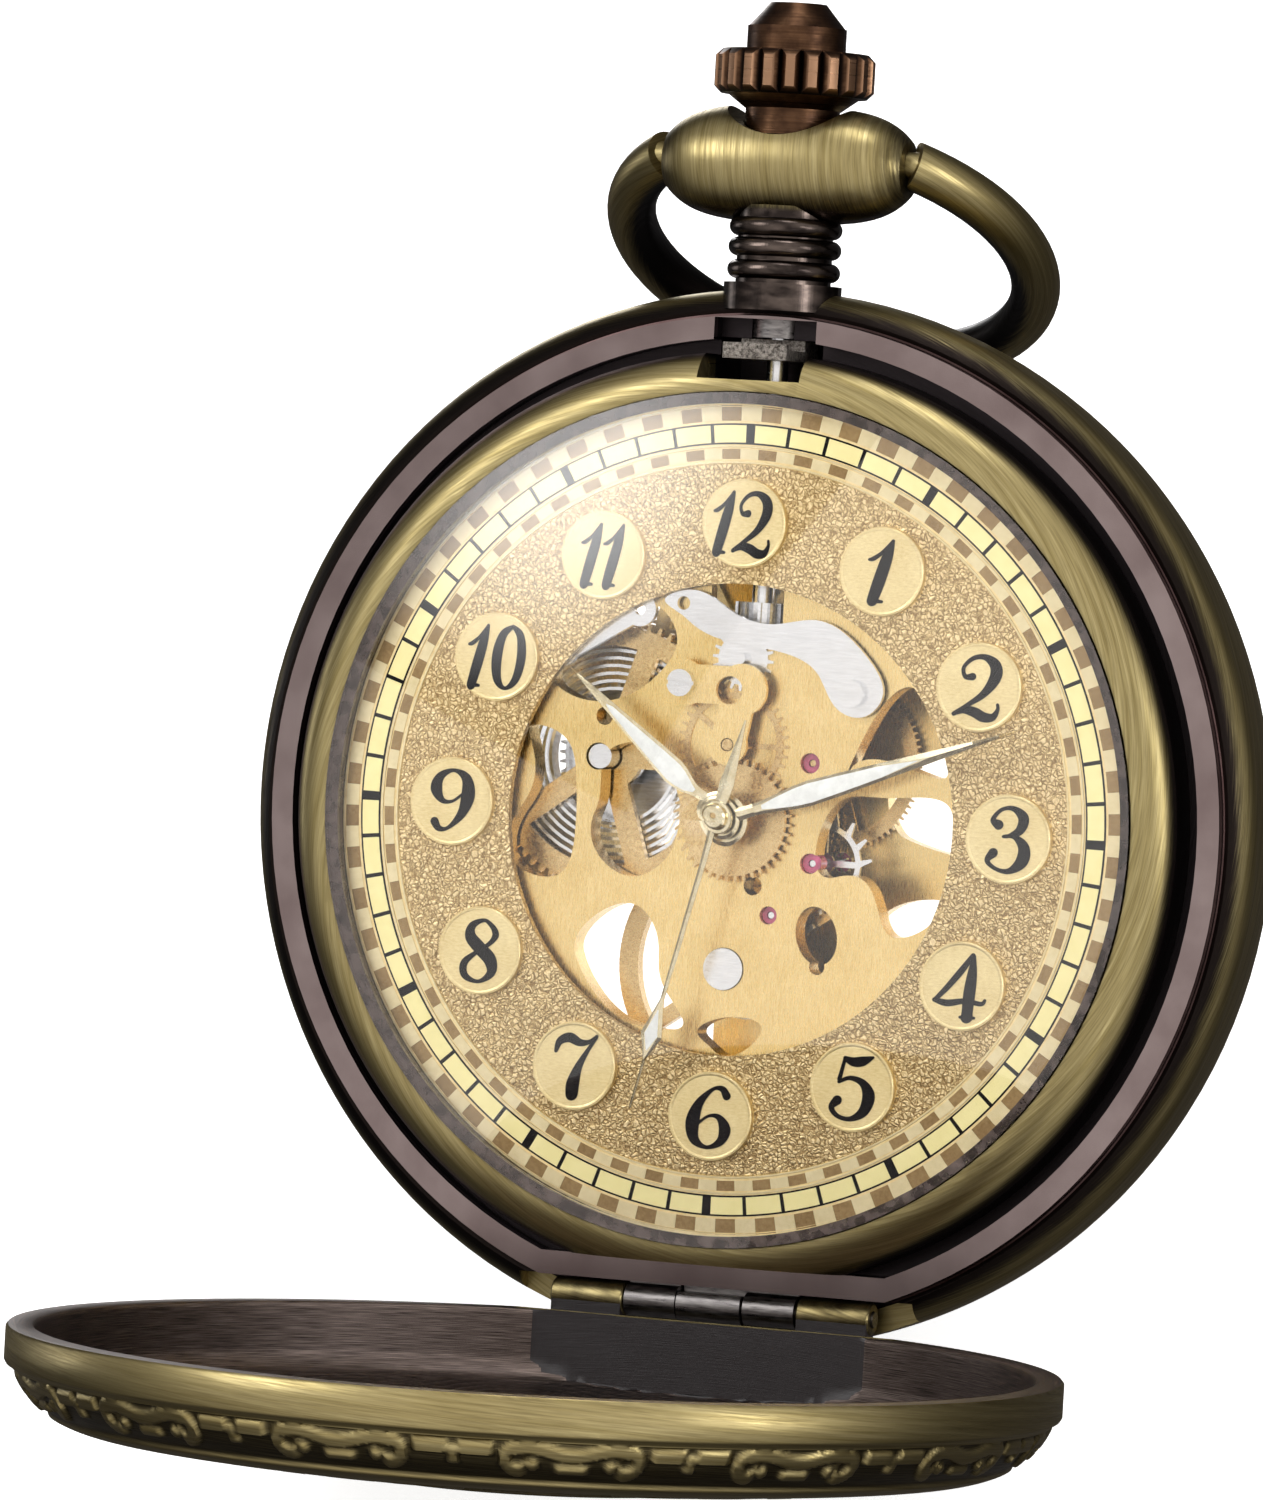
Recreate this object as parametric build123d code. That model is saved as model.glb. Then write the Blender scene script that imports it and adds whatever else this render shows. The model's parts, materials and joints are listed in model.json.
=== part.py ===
"""A hunter-case pocket watch with a skeleton dial, stored standing open on its front cover.

Every piece is drawn in the case frame: origin on the dial's front face, +X to 3 o'clock,
+Z to 12 o'clock and +Y to the back. At the end the whole watch leans back and moves, so that
it stands on the open cover and the rear edge of the case, above the middle of its footprint.
"""
import os
from math import asin, atan2, cos, degrees, pi, radians, sin, sqrt

from build123d import *

# ---- case (mm) ----
CASE_R = 23.5               # widest radius of the case band
CASE_WIDEST_Y = 2.9
CASE_BACK_Y = 8.8           # rear edge of the band
CASE_BORE_R = 18.75         # bore that holds the movement ring
LAND_IN_R = 21.3            # polished land that the cover closes on
LAND_OUT_R = 22.3
LAND_Y = 0.85
GROOVE_Y = 1.9              # floor of the groove between bezel and land
BEZEL_SEAT_R = 20.2
BACK_SEAT_Y = 8.2
BACK_SEAT_R = 20.6
FIT = 0.05                  # clearance between case parts that push together
CHORD_LAND_Z = -19.7        # inner edge of the land's straight stretch at the hinge

# ---- front bezel and crystal ----
BEZEL_OUT_R = 20.65
BEZEL_IN_R = 18.9
BEZEL_TOP_Y = -1.1
CRYSTAL_TOP_Y = -3.75
CRYSTAL_T = 0.7
CRYSTAL_EDGE_Y = -1.25
REHAUT_IN_R = 18.3

# ---- cover ----
LID_R = 22.4
LID_IN_R = 21.2
LID_RIM_Y = 0.75            # rim of the closed cover, just off the land
LID_BAND = 1.6              # depth of the plain band at the rim
LID_SHOULDER_R = 19.6
LID_SHOULDER_Y = -3.3
LID_DOME_Y = -4.45
MEDALLION_R = 8.6
MEDALLION_Y = -4.95
LID_INNER_Y = -3.95
LID_CHORD_Z = -20.45        # flat side of the cover at its hinge
LID_CHORD_WALL = 0.7
LID_OPEN = 90.0             # degrees that the stored cover stands open

# ---- hinge ----
HINGE_Y = 1.42
HINGE_Z = -21.6
BARREL_R = 0.75
PIN_R = 0.35
PIN_HALF = 7.5
CASE_LUG_X = (1.6, 4.0)     # reach of a case knuckle along the pin
LID_LUG_X = (4.1, 7.5)      # reach of a cover knuckle
RECESS_HALF = 9.3
RECESS_Z = -20.75
RECESS_Y = 2.45
RUN = 0.04                  # radial running clearance of a pin in its bore

# ---- pendant, crown and bow ----
STEM_Y = 2.8
NECK_R = 2.47
NECK_FOOT = 22.55           # clear of the closed cover's rim
NECK_TOP = 26.6
NECK_BEADS_Z = (24.35, 25.35, 26.25)
BALL_Z = 29.07
BALL_R = 2.65
BALL_HALF = 5.6
BALL_END_R = 1.3
SADDLE_R = 3.9
SADDLE_Z = 34.2
CROWN_R = 3.55
CROWN_Z = (32.1, 34.06)
CROWN_TEETH = 22
FOOT_R = 2.1                # foot of the crown, in the pocket on top of the pendant
FOOT_Z = 30.35
POCKET_Z = 29.75
CAP_R = 2.2
CAP_TOP = 36.2
STEM_R = 0.5
SLEEVE_R = 1.3
SLEEVE_Z = (21.35, 26.2)
COLLAR_Z = (27.2, 28.4)
BOW_PIVOT_Z = 29.27
BOW_R = 9.3                 # centreline radius of the bow's ring
BOW_ROD_R = 1.1
BOW_REACH = 7.3             # from the pivot line to the ring's centre
BOW_PIN_R = 0.6
BOW_TILT = 60.0             # degrees behind straight down

# ---- catch for the cover ----
SLOT_HALF = 2.4
SLOT_Z = (19.4, 22.15)
CATCH_HALF = 1.5
CATCH_NOSE_Z = 21.05
LIP_Y = (0.32, 0.7)         # the cover's lip, held behind the catch's nose
LIP_Z = 20.85

# ---- dial and hands ----
DIAL_R = 18.6
DIAL_HOLE_R = 10.4
DIAL_T = 0.4
DISC_R = 1.95
DISC_CIRCLE_R = 13.05
DISC_RISE = 0.25
DIAL_FEET = (62, 242)       # clock angles of the feet
FEET_CIRCLE_R = 15.6        # circle of the dial's feet and the movement's pillars
HOUR_HAND = (9.8, -50.0, -1.0, -0.85)       # length, clock angle, front and back Y
MINUTE_HAND = (14.2, 70.7, -1.35, -1.2)
SECOND_HAND = (13.25, 194.2, -1.7, -1.58)

# ---- movement: layers from the dial to the back (Y) ----
MOVEMENT_R = 17.6
RING_IN_R = 17.7
PLATE_Y = (0.8, 2.0)
BRIDGE_Y = (5.0, 6.0)
BARREL_TEETH_Y = (2.2, 2.6)
BARREL_DRUM_Y = (2.6, 3.6)
BARREL_DRUM_R = 5.2
CENTRE_WHEEL_Y = (3.8, 3.95)
THIRD_WHEEL_Y = (4.3, 4.45)
FOURTH_WHEEL_Y = (4.6, 4.75)
ESCAPE_WHEEL_Y = (2.55, 2.75)
BALANCE_RIM_Y = (3.0, 3.6)
BALANCE_R = (4.85, 5.75)
RATCHET_Y = (4.55, 4.95)

# ---- movement: axes in the case frame (X, Z) ----
CENTRE = (0.0, 0.0)
THIRD = (3.35, 2.7)
ESCAPE = (3.6, -1.7)
PALLET = (1.8, -4.1)
BALANCE = (-0.15, -6.6)
BARREL = (-6.6, 2.4)
MINUTE_WHEEL = (-0.25, 3.3)
SETTING_WHEEL = (0.0, 7.1)
CROWN_WHEEL = (-1.7, 7.9)
COCK_SCREWS = ((-1.9, -15.0), (1.9, -15.0))
MOTION_SCREW = (-2.5, 5.9)
LEVER_SCREW = (5.34, 5.87)

# ---- movement: tooth counts ----
BARREL_T, CENTRE_P = 72, 12
CENTRE_T, THIRD_P = 72, 12
THIRD_T, FOURTH_P = 80, 8
FOURTH_T, ESCAPE_P = 80, 8
CANNON_P, MINUTE_T = 12, 36
MINUTE_P, HOUR_T = 10, 40
SETTING_T = 20
RATCHET_T, CROWN_WHEEL_T = 46, 60
ESCAPE_T = 15
ESCAPE_R = 2.3
ARBOR_R = 0.14


# ---- drawing helpers ----
def gap(a, b):
    """Distance between two axes."""
    return sqrt((a[0] - b[0]) ** 2 + (a[1] - b[1]) ** 2)


def bearing(a, b):
    """Direction from one axis to another, degrees from +X towards +Z."""
    return degrees(atan2(b[1] - a[1], b[0] - a[0]))


def plate(sketch, y0, y1):
    """A sketch in X and Z, made solid from y0 to y1."""
    plane = Plane(origin=(0, y1, 0), x_dir=(1, 0, 0), z_dir=(0, -1, 0))
    return extrude(plane * sketch, amount=y1 - y0, dir=(0, -1, 0))


def side_plate(corners, x0, x1):
    """An outline of (Y, Z) corners, made solid from x0 to x1."""
    plane = Plane(origin=(x0, 0, 0), x_dir=(0, 1, 0), z_dir=(1, 0, 0))
    return extrude(plane * flat(*corners), amount=x1 - x0, dir=(1, 0, 0))


def flat(*corners):
    """A polygon through its corners, always facing the same way."""
    ends = corners[1:] + corners[:1]
    area = sum(a[0] * b[1] - b[0] * a[1] for a, b in zip(corners, ends))
    ordered = corners if area > 0 else corners[::-1]
    return Polygon(*ordered, align=None)


def rounded(*corners):
    """A smooth closed outline through its points."""
    ends = corners[1:] + corners[:1]
    area = sum(a[0] * b[1] - b[0] * a[1] for a, b in zip(corners, ends))
    ordered = corners if area > 0 else corners[::-1]
    return make_face(Spline(*ordered, periodic=True))


def at(axis, sketch):
    """A sketch moved to an axis."""
    return Pos(axis[0], axis[1]) * sketch


def turned(edges):
    """Edges in (radius, Y), turned round the Y axis."""
    return revolve(make_face(edges), Axis.Y)


def ring(*points):
    """A closed outline of (radius, Y) corners, turned round the Y axis."""
    return turned(Polyline(*points, close=True))


def rod(radius, x0, x1, y, z):
    """A round bar along X."""
    return Pos((x0 + x1) / 2, y, z) * Rot(0, 90, 0) * Cylinder(radius, x1 - x0)


def post(radius, y0, y1, axis):
    """A round bar along Y."""
    return Pos(axis[0], (y0 + y1) / 2, axis[1]) * Rot(90, 0, 0) * Cylinder(radius, y1 - y0)


def upright(radius, z0, z1):
    """A round bar along Z on the stem's axis."""
    return Pos(0, STEM_Y, (z0 + z1) / 2) * Cylinder(radius, z1 - z0)


def block(x, y, z):
    """A box between pairs of X, Y and Z."""
    size = [b - a for a, b in (x, y, z)]
    middle = [(a + b) / 2 for a, b in (x, y, z)]
    return Pos(*middle) * Box(*size)


def facet(radius, sides=24):
    """A round outline with flat sides, for the small parts of the train."""
    return RegularPolygon(radius, sides)


def gear(teeth, pitch_r, phase=0.0):
    """A gear outline with straight-sided teeth and backlash. phase turns it, in degrees."""
    module = 2 * pitch_r / teeth
    tip = pitch_r + 0.75 * module
    root = pitch_r - 1.25 * module
    pitch = 360 / teeth
    corners = []
    for i in range(teeth):
        middle = phase + i * pitch
        for radius, share in ((root, -0.22), (tip, -0.12), (tip, 0.12), (root, 0.22)):
            angle = radians(middle + share * pitch)
            corners.append((radius * cos(angle), radius * sin(angle)))
    return flat(*corners)


def bar(a, b, width):
    """A straight strip between two points of a sketch."""
    middle = ((a[0] + b[0]) / 2, (a[1] + b[1]) / 2)
    return Pos(*middle) * Rot(0, 0, bearing(a, b)) * Rectangle(gap(a, b), width)


def spoked(outline, rim_r, hub_r, spokes, width, bore_r, start=0.0):
    """Opens a wheel outline to a rim, spokes and a hub with a bore."""
    arms = Sketch()
    for i in range(spokes):
        angle = radians(start + 360 * i / spokes)
        arms += bar((0, 0), (rim_r * 1.01 * cos(angle), rim_r * 1.01 * sin(angle)), width)
    opened = outline - facet(rim_r, 48) + arms + facet(hub_r)
    return opened - facet(bore_r)


def polar(radius, clock):
    """A point at a radius and a clock angle, degrees from 12."""
    return (radius * sin(radians(clock)), radius * cos(radians(clock)))


# ---- case ----
def case_back_edges():
    """The band's outline behind the land, from the front step to the rear edge."""
    front = ThreePointArc((22.6, 1.25), (23.2, 1.75), (CASE_R, CASE_WIDEST_Y))
    side = ThreePointArc((CASE_R, CASE_WIDEST_Y), (23.35, 5.2), (22.75, 7.2))
    rear = ThreePointArc((22.75, 7.2), (22.1, 8.2), (21.2, CASE_BACK_Y))
    return [front, side, rear]


def band_envelope():
    """Everything inside the band's outer surface."""
    last = (21.2, CASE_BACK_Y)
    return turned(case_back_edges() + [Polyline(last, (0, CASE_BACK_Y), (0, 1.25), (22.6, 1.25))])


def case_middle():
    """The band: land, groove, bezel seats, hinge recess, catch pocket and stem bore."""
    curve = case_back_edges()
    front = Polyline(
        (21.2, CASE_BACK_Y), (BACK_SEAT_R, CASE_BACK_Y), (BACK_SEAT_R, BACK_SEAT_Y),
        (BACK_SEAT_R - 0.6, BACK_SEAT_Y), (BACK_SEAT_R - 0.6, 7.2), (CASE_BORE_R, 7.2),
        (CASE_BORE_R, 0.5), (BEZEL_SEAT_R, 0.5), (BEZEL_SEAT_R, GROOVE_Y),
        (LAND_IN_R, GROOVE_Y), (LAND_IN_R, LAND_Y), (LAND_OUT_R, LAND_Y),
        (LAND_OUT_R, 1.35), (22.6, 1.25))
    band = turned(curve + [front])
    strip = post(LAND_IN_R + FIT, LAND_Y, GROOVE_Y + 0.5, CENTRE)
    band += strip & block((-12, 12), (0, 5), (-25, CHORD_LAND_Z))
    band -= block((-12, 12), (-5, LAND_Y), (-25, CHORD_LAND_Z))
    band -= block((-RECESS_HALF, RECESS_HALF), (-5, RECESS_Y), (-30, RECESS_Z))
    band -= block((-SLOT_HALF, SLOT_HALF), (-5, 4.6), (17, SLOT_Z[0] + 1.9))
    band -= block((-SLOT_HALF, SLOT_HALF), (-5, GROOVE_Y), (17, SLOT_Z[1]))
    band -= upright(SLEEVE_R + RUN, 17, 26)
    return band


def front_bezel():
    """The ring that holds the front crystal."""
    top = ThreePointArc((BEZEL_IN_R, BEZEL_TOP_Y), (19.95, -0.85), (BEZEL_OUT_R, 0.0))
    rest = Polyline(
        (BEZEL_OUT_R, 0.0), (BEZEL_OUT_R, GROOVE_Y - FIT), (BEZEL_SEAT_R + FIT, GROOVE_Y - FIT),
        (BEZEL_SEAT_R + FIT, 0.5 - FIT), (BEZEL_IN_R, 0.5 - FIT), (BEZEL_IN_R, BEZEL_TOP_Y))
    body = turned([top, rest])
    body -= block((-12, 12), (-5, 5), (-25, CHORD_LAND_Z + FIT))
    return body - block((-SLOT_HALF, SLOT_HALF), (-5, 5), (SLOT_Z[0], 25))


def dome_arc(top_y, edge_r, edge_y):
    """An outline from the axis to an edge, part of a sphere centred on the axis."""
    rise = edge_y - top_y
    radius = (edge_r ** 2 + rise ** 2) / (2 * rise)
    half = asin(edge_r / radius) / 2
    middle = (radius * sin(half), top_y + radius * (1 - cos(half)))
    return ThreePointArc((0, top_y), middle, (edge_r, edge_y))


def domed(top_y, edge_r, edge_y, back_y, inner_r, inner_y):
    """A watch glass with a round dome outside and inside."""
    edge = Polyline((edge_r, edge_y), (edge_r, back_y), (inner_r, back_y))
    return turned([dome_arc(top_y, edge_r, edge_y), edge, dome_arc(inner_y, inner_r, back_y),
                   Line((0, inner_y), (0, top_y))])


def front_crystal():
    return domed(CRYSTAL_TOP_Y, BEZEL_IN_R - FIT, CRYSTAL_EDGE_Y, CRYSTAL_EDGE_Y + 0.53,
                 REHAUT_IN_R - 0.1, CRYSTAL_TOP_Y + CRYSTAL_T)


def rehaut():
    """The dark ring between the crystal and the dial."""
    y0 = CRYSTAL_EDGE_Y + 0.53 + 0.02
    return ring((REHAUT_IN_R, y0), (BEZEL_IN_R - FIT, y0), (BEZEL_IN_R - FIT, -0.02),
                (REHAUT_IN_R, -0.02))


def back_bezel():
    r = BACK_SEAT_R - FIT
    crown = ThreePointArc((r, 8.65), (20.2, 8.92), (19.4, 9.0))
    rest = Polyline((19.4, 9.0), (16.8, 9.0), (16.5, 8.7), (16.5, 8.35), (17.3, 8.35), (17.3, 7.6),
                    (r - 0.6, 7.6), (r - 0.6, BACK_SEAT_Y), (r, BACK_SEAT_Y), (r, 8.65))
    return turned([crown, rest])


def back_crystal():
    return ring((0, 7.68), (17.26, 7.68), (17.26, 8.33), (0, 8.33))


def back_crystal_ring():
    """The ring that clamps the rear glass from inside."""
    return ring((16.4, 7.25), (18.6, 7.25), (18.6, 7.58), (17.25, 7.58), (17.25, 7.66),
                (16.4, 7.66))


# ---- hinge and cover ----
def lid_outer_edges():
    """The closed cover's outline, from the rim to the middle."""
    band_y = LID_RIM_Y - LID_BAND
    shoulder = (LID_SHOULDER_R, LID_SHOULDER_Y)
    step = (LID_R - 0.35, band_y - 0.2)
    medallion = (MEDALLION_R, LID_DOME_Y + 0.3)
    return [
        Line((LID_R, LID_RIM_Y), (LID_R, band_y)),
        Line((LID_R, band_y), step),
        ThreePointArc(step, (21.25, -2.35), shoulder),
        ThreePointArc(shoulder, (14.5, -3.88), medallion),
        Line(medallion, (MEDALLION_R - 0.4, LID_DOME_Y - 0.15)),
        dome_arc(MEDALLION_Y, MEDALLION_R - 0.4, LID_DOME_Y - 0.15),
    ]


def lid_inner_edges():
    return [
        Line((0, MEDALLION_Y), (0, LID_INNER_Y)),
        dome_arc(LID_INNER_Y, 20.6, -2.3),
        ThreePointArc((20.6, -2.3), (21.0, -2.0), (LID_IN_R, -1.5)),
        Polyline((LID_IN_R, -1.5), (LID_IN_R, LID_RIM_Y), (LID_R, LID_RIM_Y)),
    ]


def opened(shape):
    """Swings a piece of the closed cover to its stored, open place."""
    hinge = Axis((0, HINGE_Y, HINGE_Z), (1, 0, 0))
    return shape.rotate(hinge, LID_OPEN)


def lid():
    """The cover: a domed dish with a flat side, a catch lip and its hinge knuckles."""
    dish = turned(lid_outer_edges() + lid_inner_edges())
    solid = turned(lid_outer_edges() + [Polyline((0, MEDALLION_Y), (0, LID_RIM_Y),
                                                 (LID_R, LID_RIM_Y))])
    wall = solid & block((-12, 12), (-8, 2), (LID_CHORD_Z - 1, LID_CHORD_Z + LID_CHORD_WALL))
    dish = (dish + wall) - block((-15, 15), (-8, 3), (-30, LID_CHORD_Z))
    dish += block((-CATCH_HALF, CATCH_HALF), LIP_Y, (LIP_Z, LID_IN_R + 0.1))
    side = ((HINGE_Y, HINGE_Z + BARREL_R), (LID_RIM_Y, HINGE_Z + BARREL_R),
            (LID_RIM_Y, LID_CHORD_Z + 0.1), (LID_RIM_Y - 1.3, LID_CHORD_Z + 0.1),
            (LID_RIM_Y - 1.3, HINGE_Z + 0.4),
            (HINGE_Y - BARREL_R * 0.7, HINGE_Z - BARREL_R * 0.7))
    for sign in (-1, 1):
        x0, x1 = sorted((sign * LID_LUG_X[0], sign * LID_LUG_X[1]))
        dish += side_plate(side, x0, x1) + rod(BARREL_R, x0, x1, HINGE_Y, HINGE_Z)
    return opened(dish - rod(PIN_R + RUN, -9, 9, HINGE_Y, HINGE_Z))


def hinge_pin():
    return rod(PIN_R, -PIN_HALF - 0.1, PIN_HALF + 0.1, HINGE_Y, HINGE_Z)


def case_knuckles():
    """The two steel knuckles fixed in the case's hinge recess."""
    pieces = []
    for sign in (-1, 1):
        x0, x1 = sorted((sign * CASE_LUG_X[0], sign * CASE_LUG_X[1]))
        piece = rod(BARREL_R, x0, x1, HINGE_Y, HINGE_Z)
        piece += block((x0, x1), (HINGE_Y, RECESS_Y), (HINGE_Z - BARREL_R, RECESS_Z))
        pieces.append(piece - rod(PIN_R + RUN, -9, 9, HINGE_Y, HINGE_Z))
    return pieces


def lift_spring():
    """The sprung finger between the knuckles that lifts the cover."""
    half = CASE_LUG_X[0] - 0.1
    finger = rod(0.85, -half, half, HINGE_Y, HINGE_Z)
    finger += block((-half, half), (HINGE_Y, RECESS_Y), (HINGE_Z - 0.4, RECESS_Z))
    finger -= block((-half, half), (-1, HINGE_Y + 0.2), (HINGE_Z + 0.55, HINGE_Z + 2))
    return finger - rod(PIN_R + RUN, -9, 9, HINGE_Y, HINGE_Z)


# ---- pendant, bow, crown ----
def pendant():
    """The neck with its bead rings, and the barrel-shaped head that the bow is hinged in."""
    neck = upright(NECK_R - 0.35, NECK_FOOT, NECK_TOP + 0.6)
    for z in NECK_BEADS_Z:
        neck += Pos(0, STEM_Y, z) * Torus(NECK_R - 0.38, 0.42)
    neck += upright(NECK_R + 0.15, NECK_FOOT, 23.75)
    neck -= band_envelope()
    outline = Spline((-BALL_HALF, BALL_END_R), (-4.5, 2.1), (-2.5, 2.55), (0, BALL_R),
                     (2.5, 2.55), (4.5, 2.1), (BALL_HALF, BALL_END_R))
    base = Polyline((BALL_HALF, BALL_END_R), (BALL_HALF, 0), (-BALL_HALF, 0),
                    (-BALL_HALF, BALL_END_R))
    ball = Pos(0, STEM_Y, BALL_Z) * revolve(make_face([outline, base]), Axis.X)
    ball -= Pos(0, STEM_Y, SADDLE_Z) * Rot(90, 0, 0) * Cylinder(SADDLE_R, 12)
    head = neck + ball
    head -= upright(SLEEVE_R + RUN, 18, 40) + upright(FOOT_R + 0.1, POCKET_Z, 40)
    head -= rod(BOW_PIN_R + RUN, -10, -4.4, STEM_Y, BOW_PIVOT_Z)
    head -= rod(BOW_PIN_R + RUN, 4.4, 10, STEM_Y, BOW_PIVOT_Z)
    return head


def bow():
    """An open ring whose ends turn inwards into the pendant's head."""
    end_x = sqrt(BOW_R ** 2 - BOW_REACH ** 2)
    path = ThreePointArc((-end_x, 0, 0), (0, 0, -BOW_REACH - BOW_R), (end_x, 0, 0))
    start = Plane(origin=path @ 0, z_dir=path % 0)
    loop = sweep(start * Circle(BOW_ROD_R), path=path)
    loop -= Box(2 * (BALL_HALF + 0.12), 6, 6)
    for sign in (-1, 1):
        x0, x1 = sorted((sign * 4.5, sign * (BALL_HALF + 0.6)))
        loop += rod(BOW_PIN_R, x0, x1, 0, 0)
    return Pos(0, STEM_Y, BOW_PIVOT_Z) * Rot(BOW_TILT, 0, 0) * loop


def crown():
    """The knurled crown with its tapered foot."""
    knurl = Sketch() + Circle(CROWN_R)
    for i in range(CROWN_TEETH):
        angle = 360 * i / CROWN_TEETH
        knurl -= Rot(0, 0, angle) * Pos(CROWN_R + 0.12, 0) * Rot(0, 0, 45) * Rectangle(0.62, 0.62)
    body = extrude(Pos(0, 0, CROWN_Z[0]) * knurl, amount=CROWN_Z[1] - CROWN_Z[0])
    body = body & (Pos(0, 0, sum(CROWN_Z) / 2) * chamfered_disc(CROWN_R, CROWN_Z[1] - CROWN_Z[0]))
    body += Pos(0, 0, 31.8) * Cone(FOOT_R + 0.05, CROWN_R - 0.6, 0.6)
    body += Pos(0, 0, (FOOT_Z + 31.6) / 2) * Cylinder(FOOT_R, 31.6 - FOOT_Z)
    body -= Pos(0, 0, 31) * Cylinder(STEM_R, 20)
    return Pos(0, STEM_Y, 0) * body


def chamfered_disc(radius, height):
    """A disc with broken edges, centred on its own middle."""
    return chamfer(Cylinder(radius, height).edges().filter_by(GeomType.CIRCLE), 0.3)


def crown_cap():
    """The button on top of the crown."""
    barrel = Pos(0, 0, 34.6) * Cylinder(CAP_R, 1.08)
    cone = Pos(0, 0, (35.14 + CAP_TOP) / 2) * Cone(CAP_R - 0.05, 1.25, CAP_TOP - 35.14)
    cap = barrel + cone
    return Pos(0, STEM_Y, 0) * (cap - Pos(0, 0, 33) * Cylinder(STEM_R, 4))


def winding_stem():
    return upright(STEM_R, 6.9, 35.0)


def release_sleeve():
    """The tube round the stem that works the catch."""
    return upright(SLEEVE_R, *SLEEVE_Z) - upright(STEM_R + RUN, 17, 40)


def stem_collar():
    return upright(SLEEVE_R, *COLLAR_Z) - upright(STEM_R + RUN, 17, 40)


def catch():
    """The hooked slide that holds the closed cover."""
    side = ((-0.35, CATCH_NOSE_Z), (0.1, CATCH_NOSE_Z), (0.3, 20.8), (2.0, 20.8),
            (2.0, SLEEVE_Z[0] - 0.07), (3.7, SLEEVE_Z[0] - 0.07), (3.7, 20.35), (-0.35, 20.35))
    return side_plate(side, -CATCH_HALF, CATCH_HALF) - upright(STEM_R + 0.15, 17, 24)


# ---- dial and hands ----
def dial():
    """The annular dial with its two feet."""
    face = plate(Circle(DIAL_R) - Circle(DIAL_HOLE_R), 0, DIAL_T)
    for clock in DIAL_FEET:
        face += post(0.4, DIAL_T, PLATE_Y[0] + 0.6, polar(FEET_CIRCLE_R, clock))
    return face


def numeral_discs():
    """Twelve raised discs that carry the hour numbers."""
    return [post(DISC_R, -DISC_RISE, 0, polar(DISC_CIRCLE_R, 30 * i)) for i in range(12)]


def blade(length, base, width, base_at, tail=0.0):
    """A leaf hand pointing up: narrow at the hub, widest at base_at, sharp at the tip."""
    half = width / 2
    points = [(-base / 2, 0), (-half, base_at), (0, length), (half, base_at), (base / 2, 0)]
    if tail:
        points += [(0.2, -tail + 0.5), (0, -tail), (-0.2, -tail + 0.5)]
    return flat(*points)


def hand(values, outline, hub_r, bore_r):
    """A hand outline with its hub, turned to its clock angle."""
    _, clock, y0, y1 = values
    sketch = Rot(0, 0, -clock) * outline + Circle(hub_r) - Circle(bore_r)
    return plate(sketch, y0, y1)


def hour_hand():
    return hand(HOUR_HAND, blade(HOUR_HAND[0], 0.8, 1.1, 3.1), 1.2, 0.75)


def minute_hand():
    return hand(MINUTE_HAND, blade(MINUTE_HAND[0], 0.75, 1.05, 4.6), 0.95, 0.45)


def second_hand():
    length = SECOND_HAND[0]
    needle = flat((-0.14, 0), (-0.07, length), (0.07, length), (0.14, 0))
    lozenge = flat((0, 8.2), (-0.5, 9.9), (0, 11.0), (0.5, 9.9))
    tail = flat((-0.17, 0), (-0.34, -1.6), (0, -4.6), (0.34, -1.6), (0.17, 0))
    shape = hand(SECOND_HAND, needle + lozenge + tail, 0.75, ARBOR_R + 0.01)
    return shape + (post(0.55, -2.1, SECOND_HAND[2], CENTRE) - post(ARBOR_R + 0.01, -2.2, 0, CENTRE))


# ---- movement ----
def movement_ring():
    """The holder between the movement and the case."""
    body = ring((RING_IN_R, 0.5), (CASE_BORE_R - FIT, 0.5), (CASE_BORE_R - FIT, 6.4),
                (RING_IN_R, 6.4))
    return body - block((-1.8, 1.8), (0, 4.6), (10, 30))


def plate_windows():
    """The openings of the skeletonised plate, inside the dial's hole."""
    return [
        rounded((-8.9, 5.6), (-7.0, 8.0), (-4.2, 9.2), (-3.2, 7.8), (-3.9, 6.3), (-5.8, 5.0),
                (-7.6, 4.9)),
        rounded((-9.8, 3.6), (-8.3, 3.2), (-7.6, 1.5), (-7.5, -1.0), (-8.1, -2.9), (-9.5, -3.0),
                (-10.1, 0.0)),
        rounded((-6.2, 2.6), (-4.7, 3.1), (-3.2, 1.9), (-2.6, 0.2), (-3.0, -1.7), (-4.6, -2.8),
                (-6.0, -2.3), (-6.6, 0.0)),
        rounded((-6.4, -4.7), (-4.3, -4.1), (-3.3, -5.5), (-3.0, -7.4), (-1.9, -9.2),
                (-3.8, -9.4), (-6.2, -8.0), (-7.2, -6.3)),
        rounded((5.1, 2.3), (7.5, 2.9), (9.7, 2.5), (9.2, 4.4), (7.9, 6.3), (6.3, 5.0)),
        rounded((4.5, 0.8), (6.8, 1.4), (9.9, 1.2), (10.1, -1.2), (9.1, -4.2), (7.5, -4.6),
                (6.7, -3.0), (4.9, -2.2)),
        rounded((-1.2, -9.5), (0.2, -8.7), (1.8, -9.1), (1.2, -10.0), (-0.4, -10.2)),
        at((4.1, -4.85), Rot(0, 0, 15) * Ellipse(0.95, 1.3)),
        at((1.0, -2.85), Circle(0.42)), at((4.2, -6.2), Circle(0.36)),
        at((-6.4, 4.2), Circle(0.4)),
    ]


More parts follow.
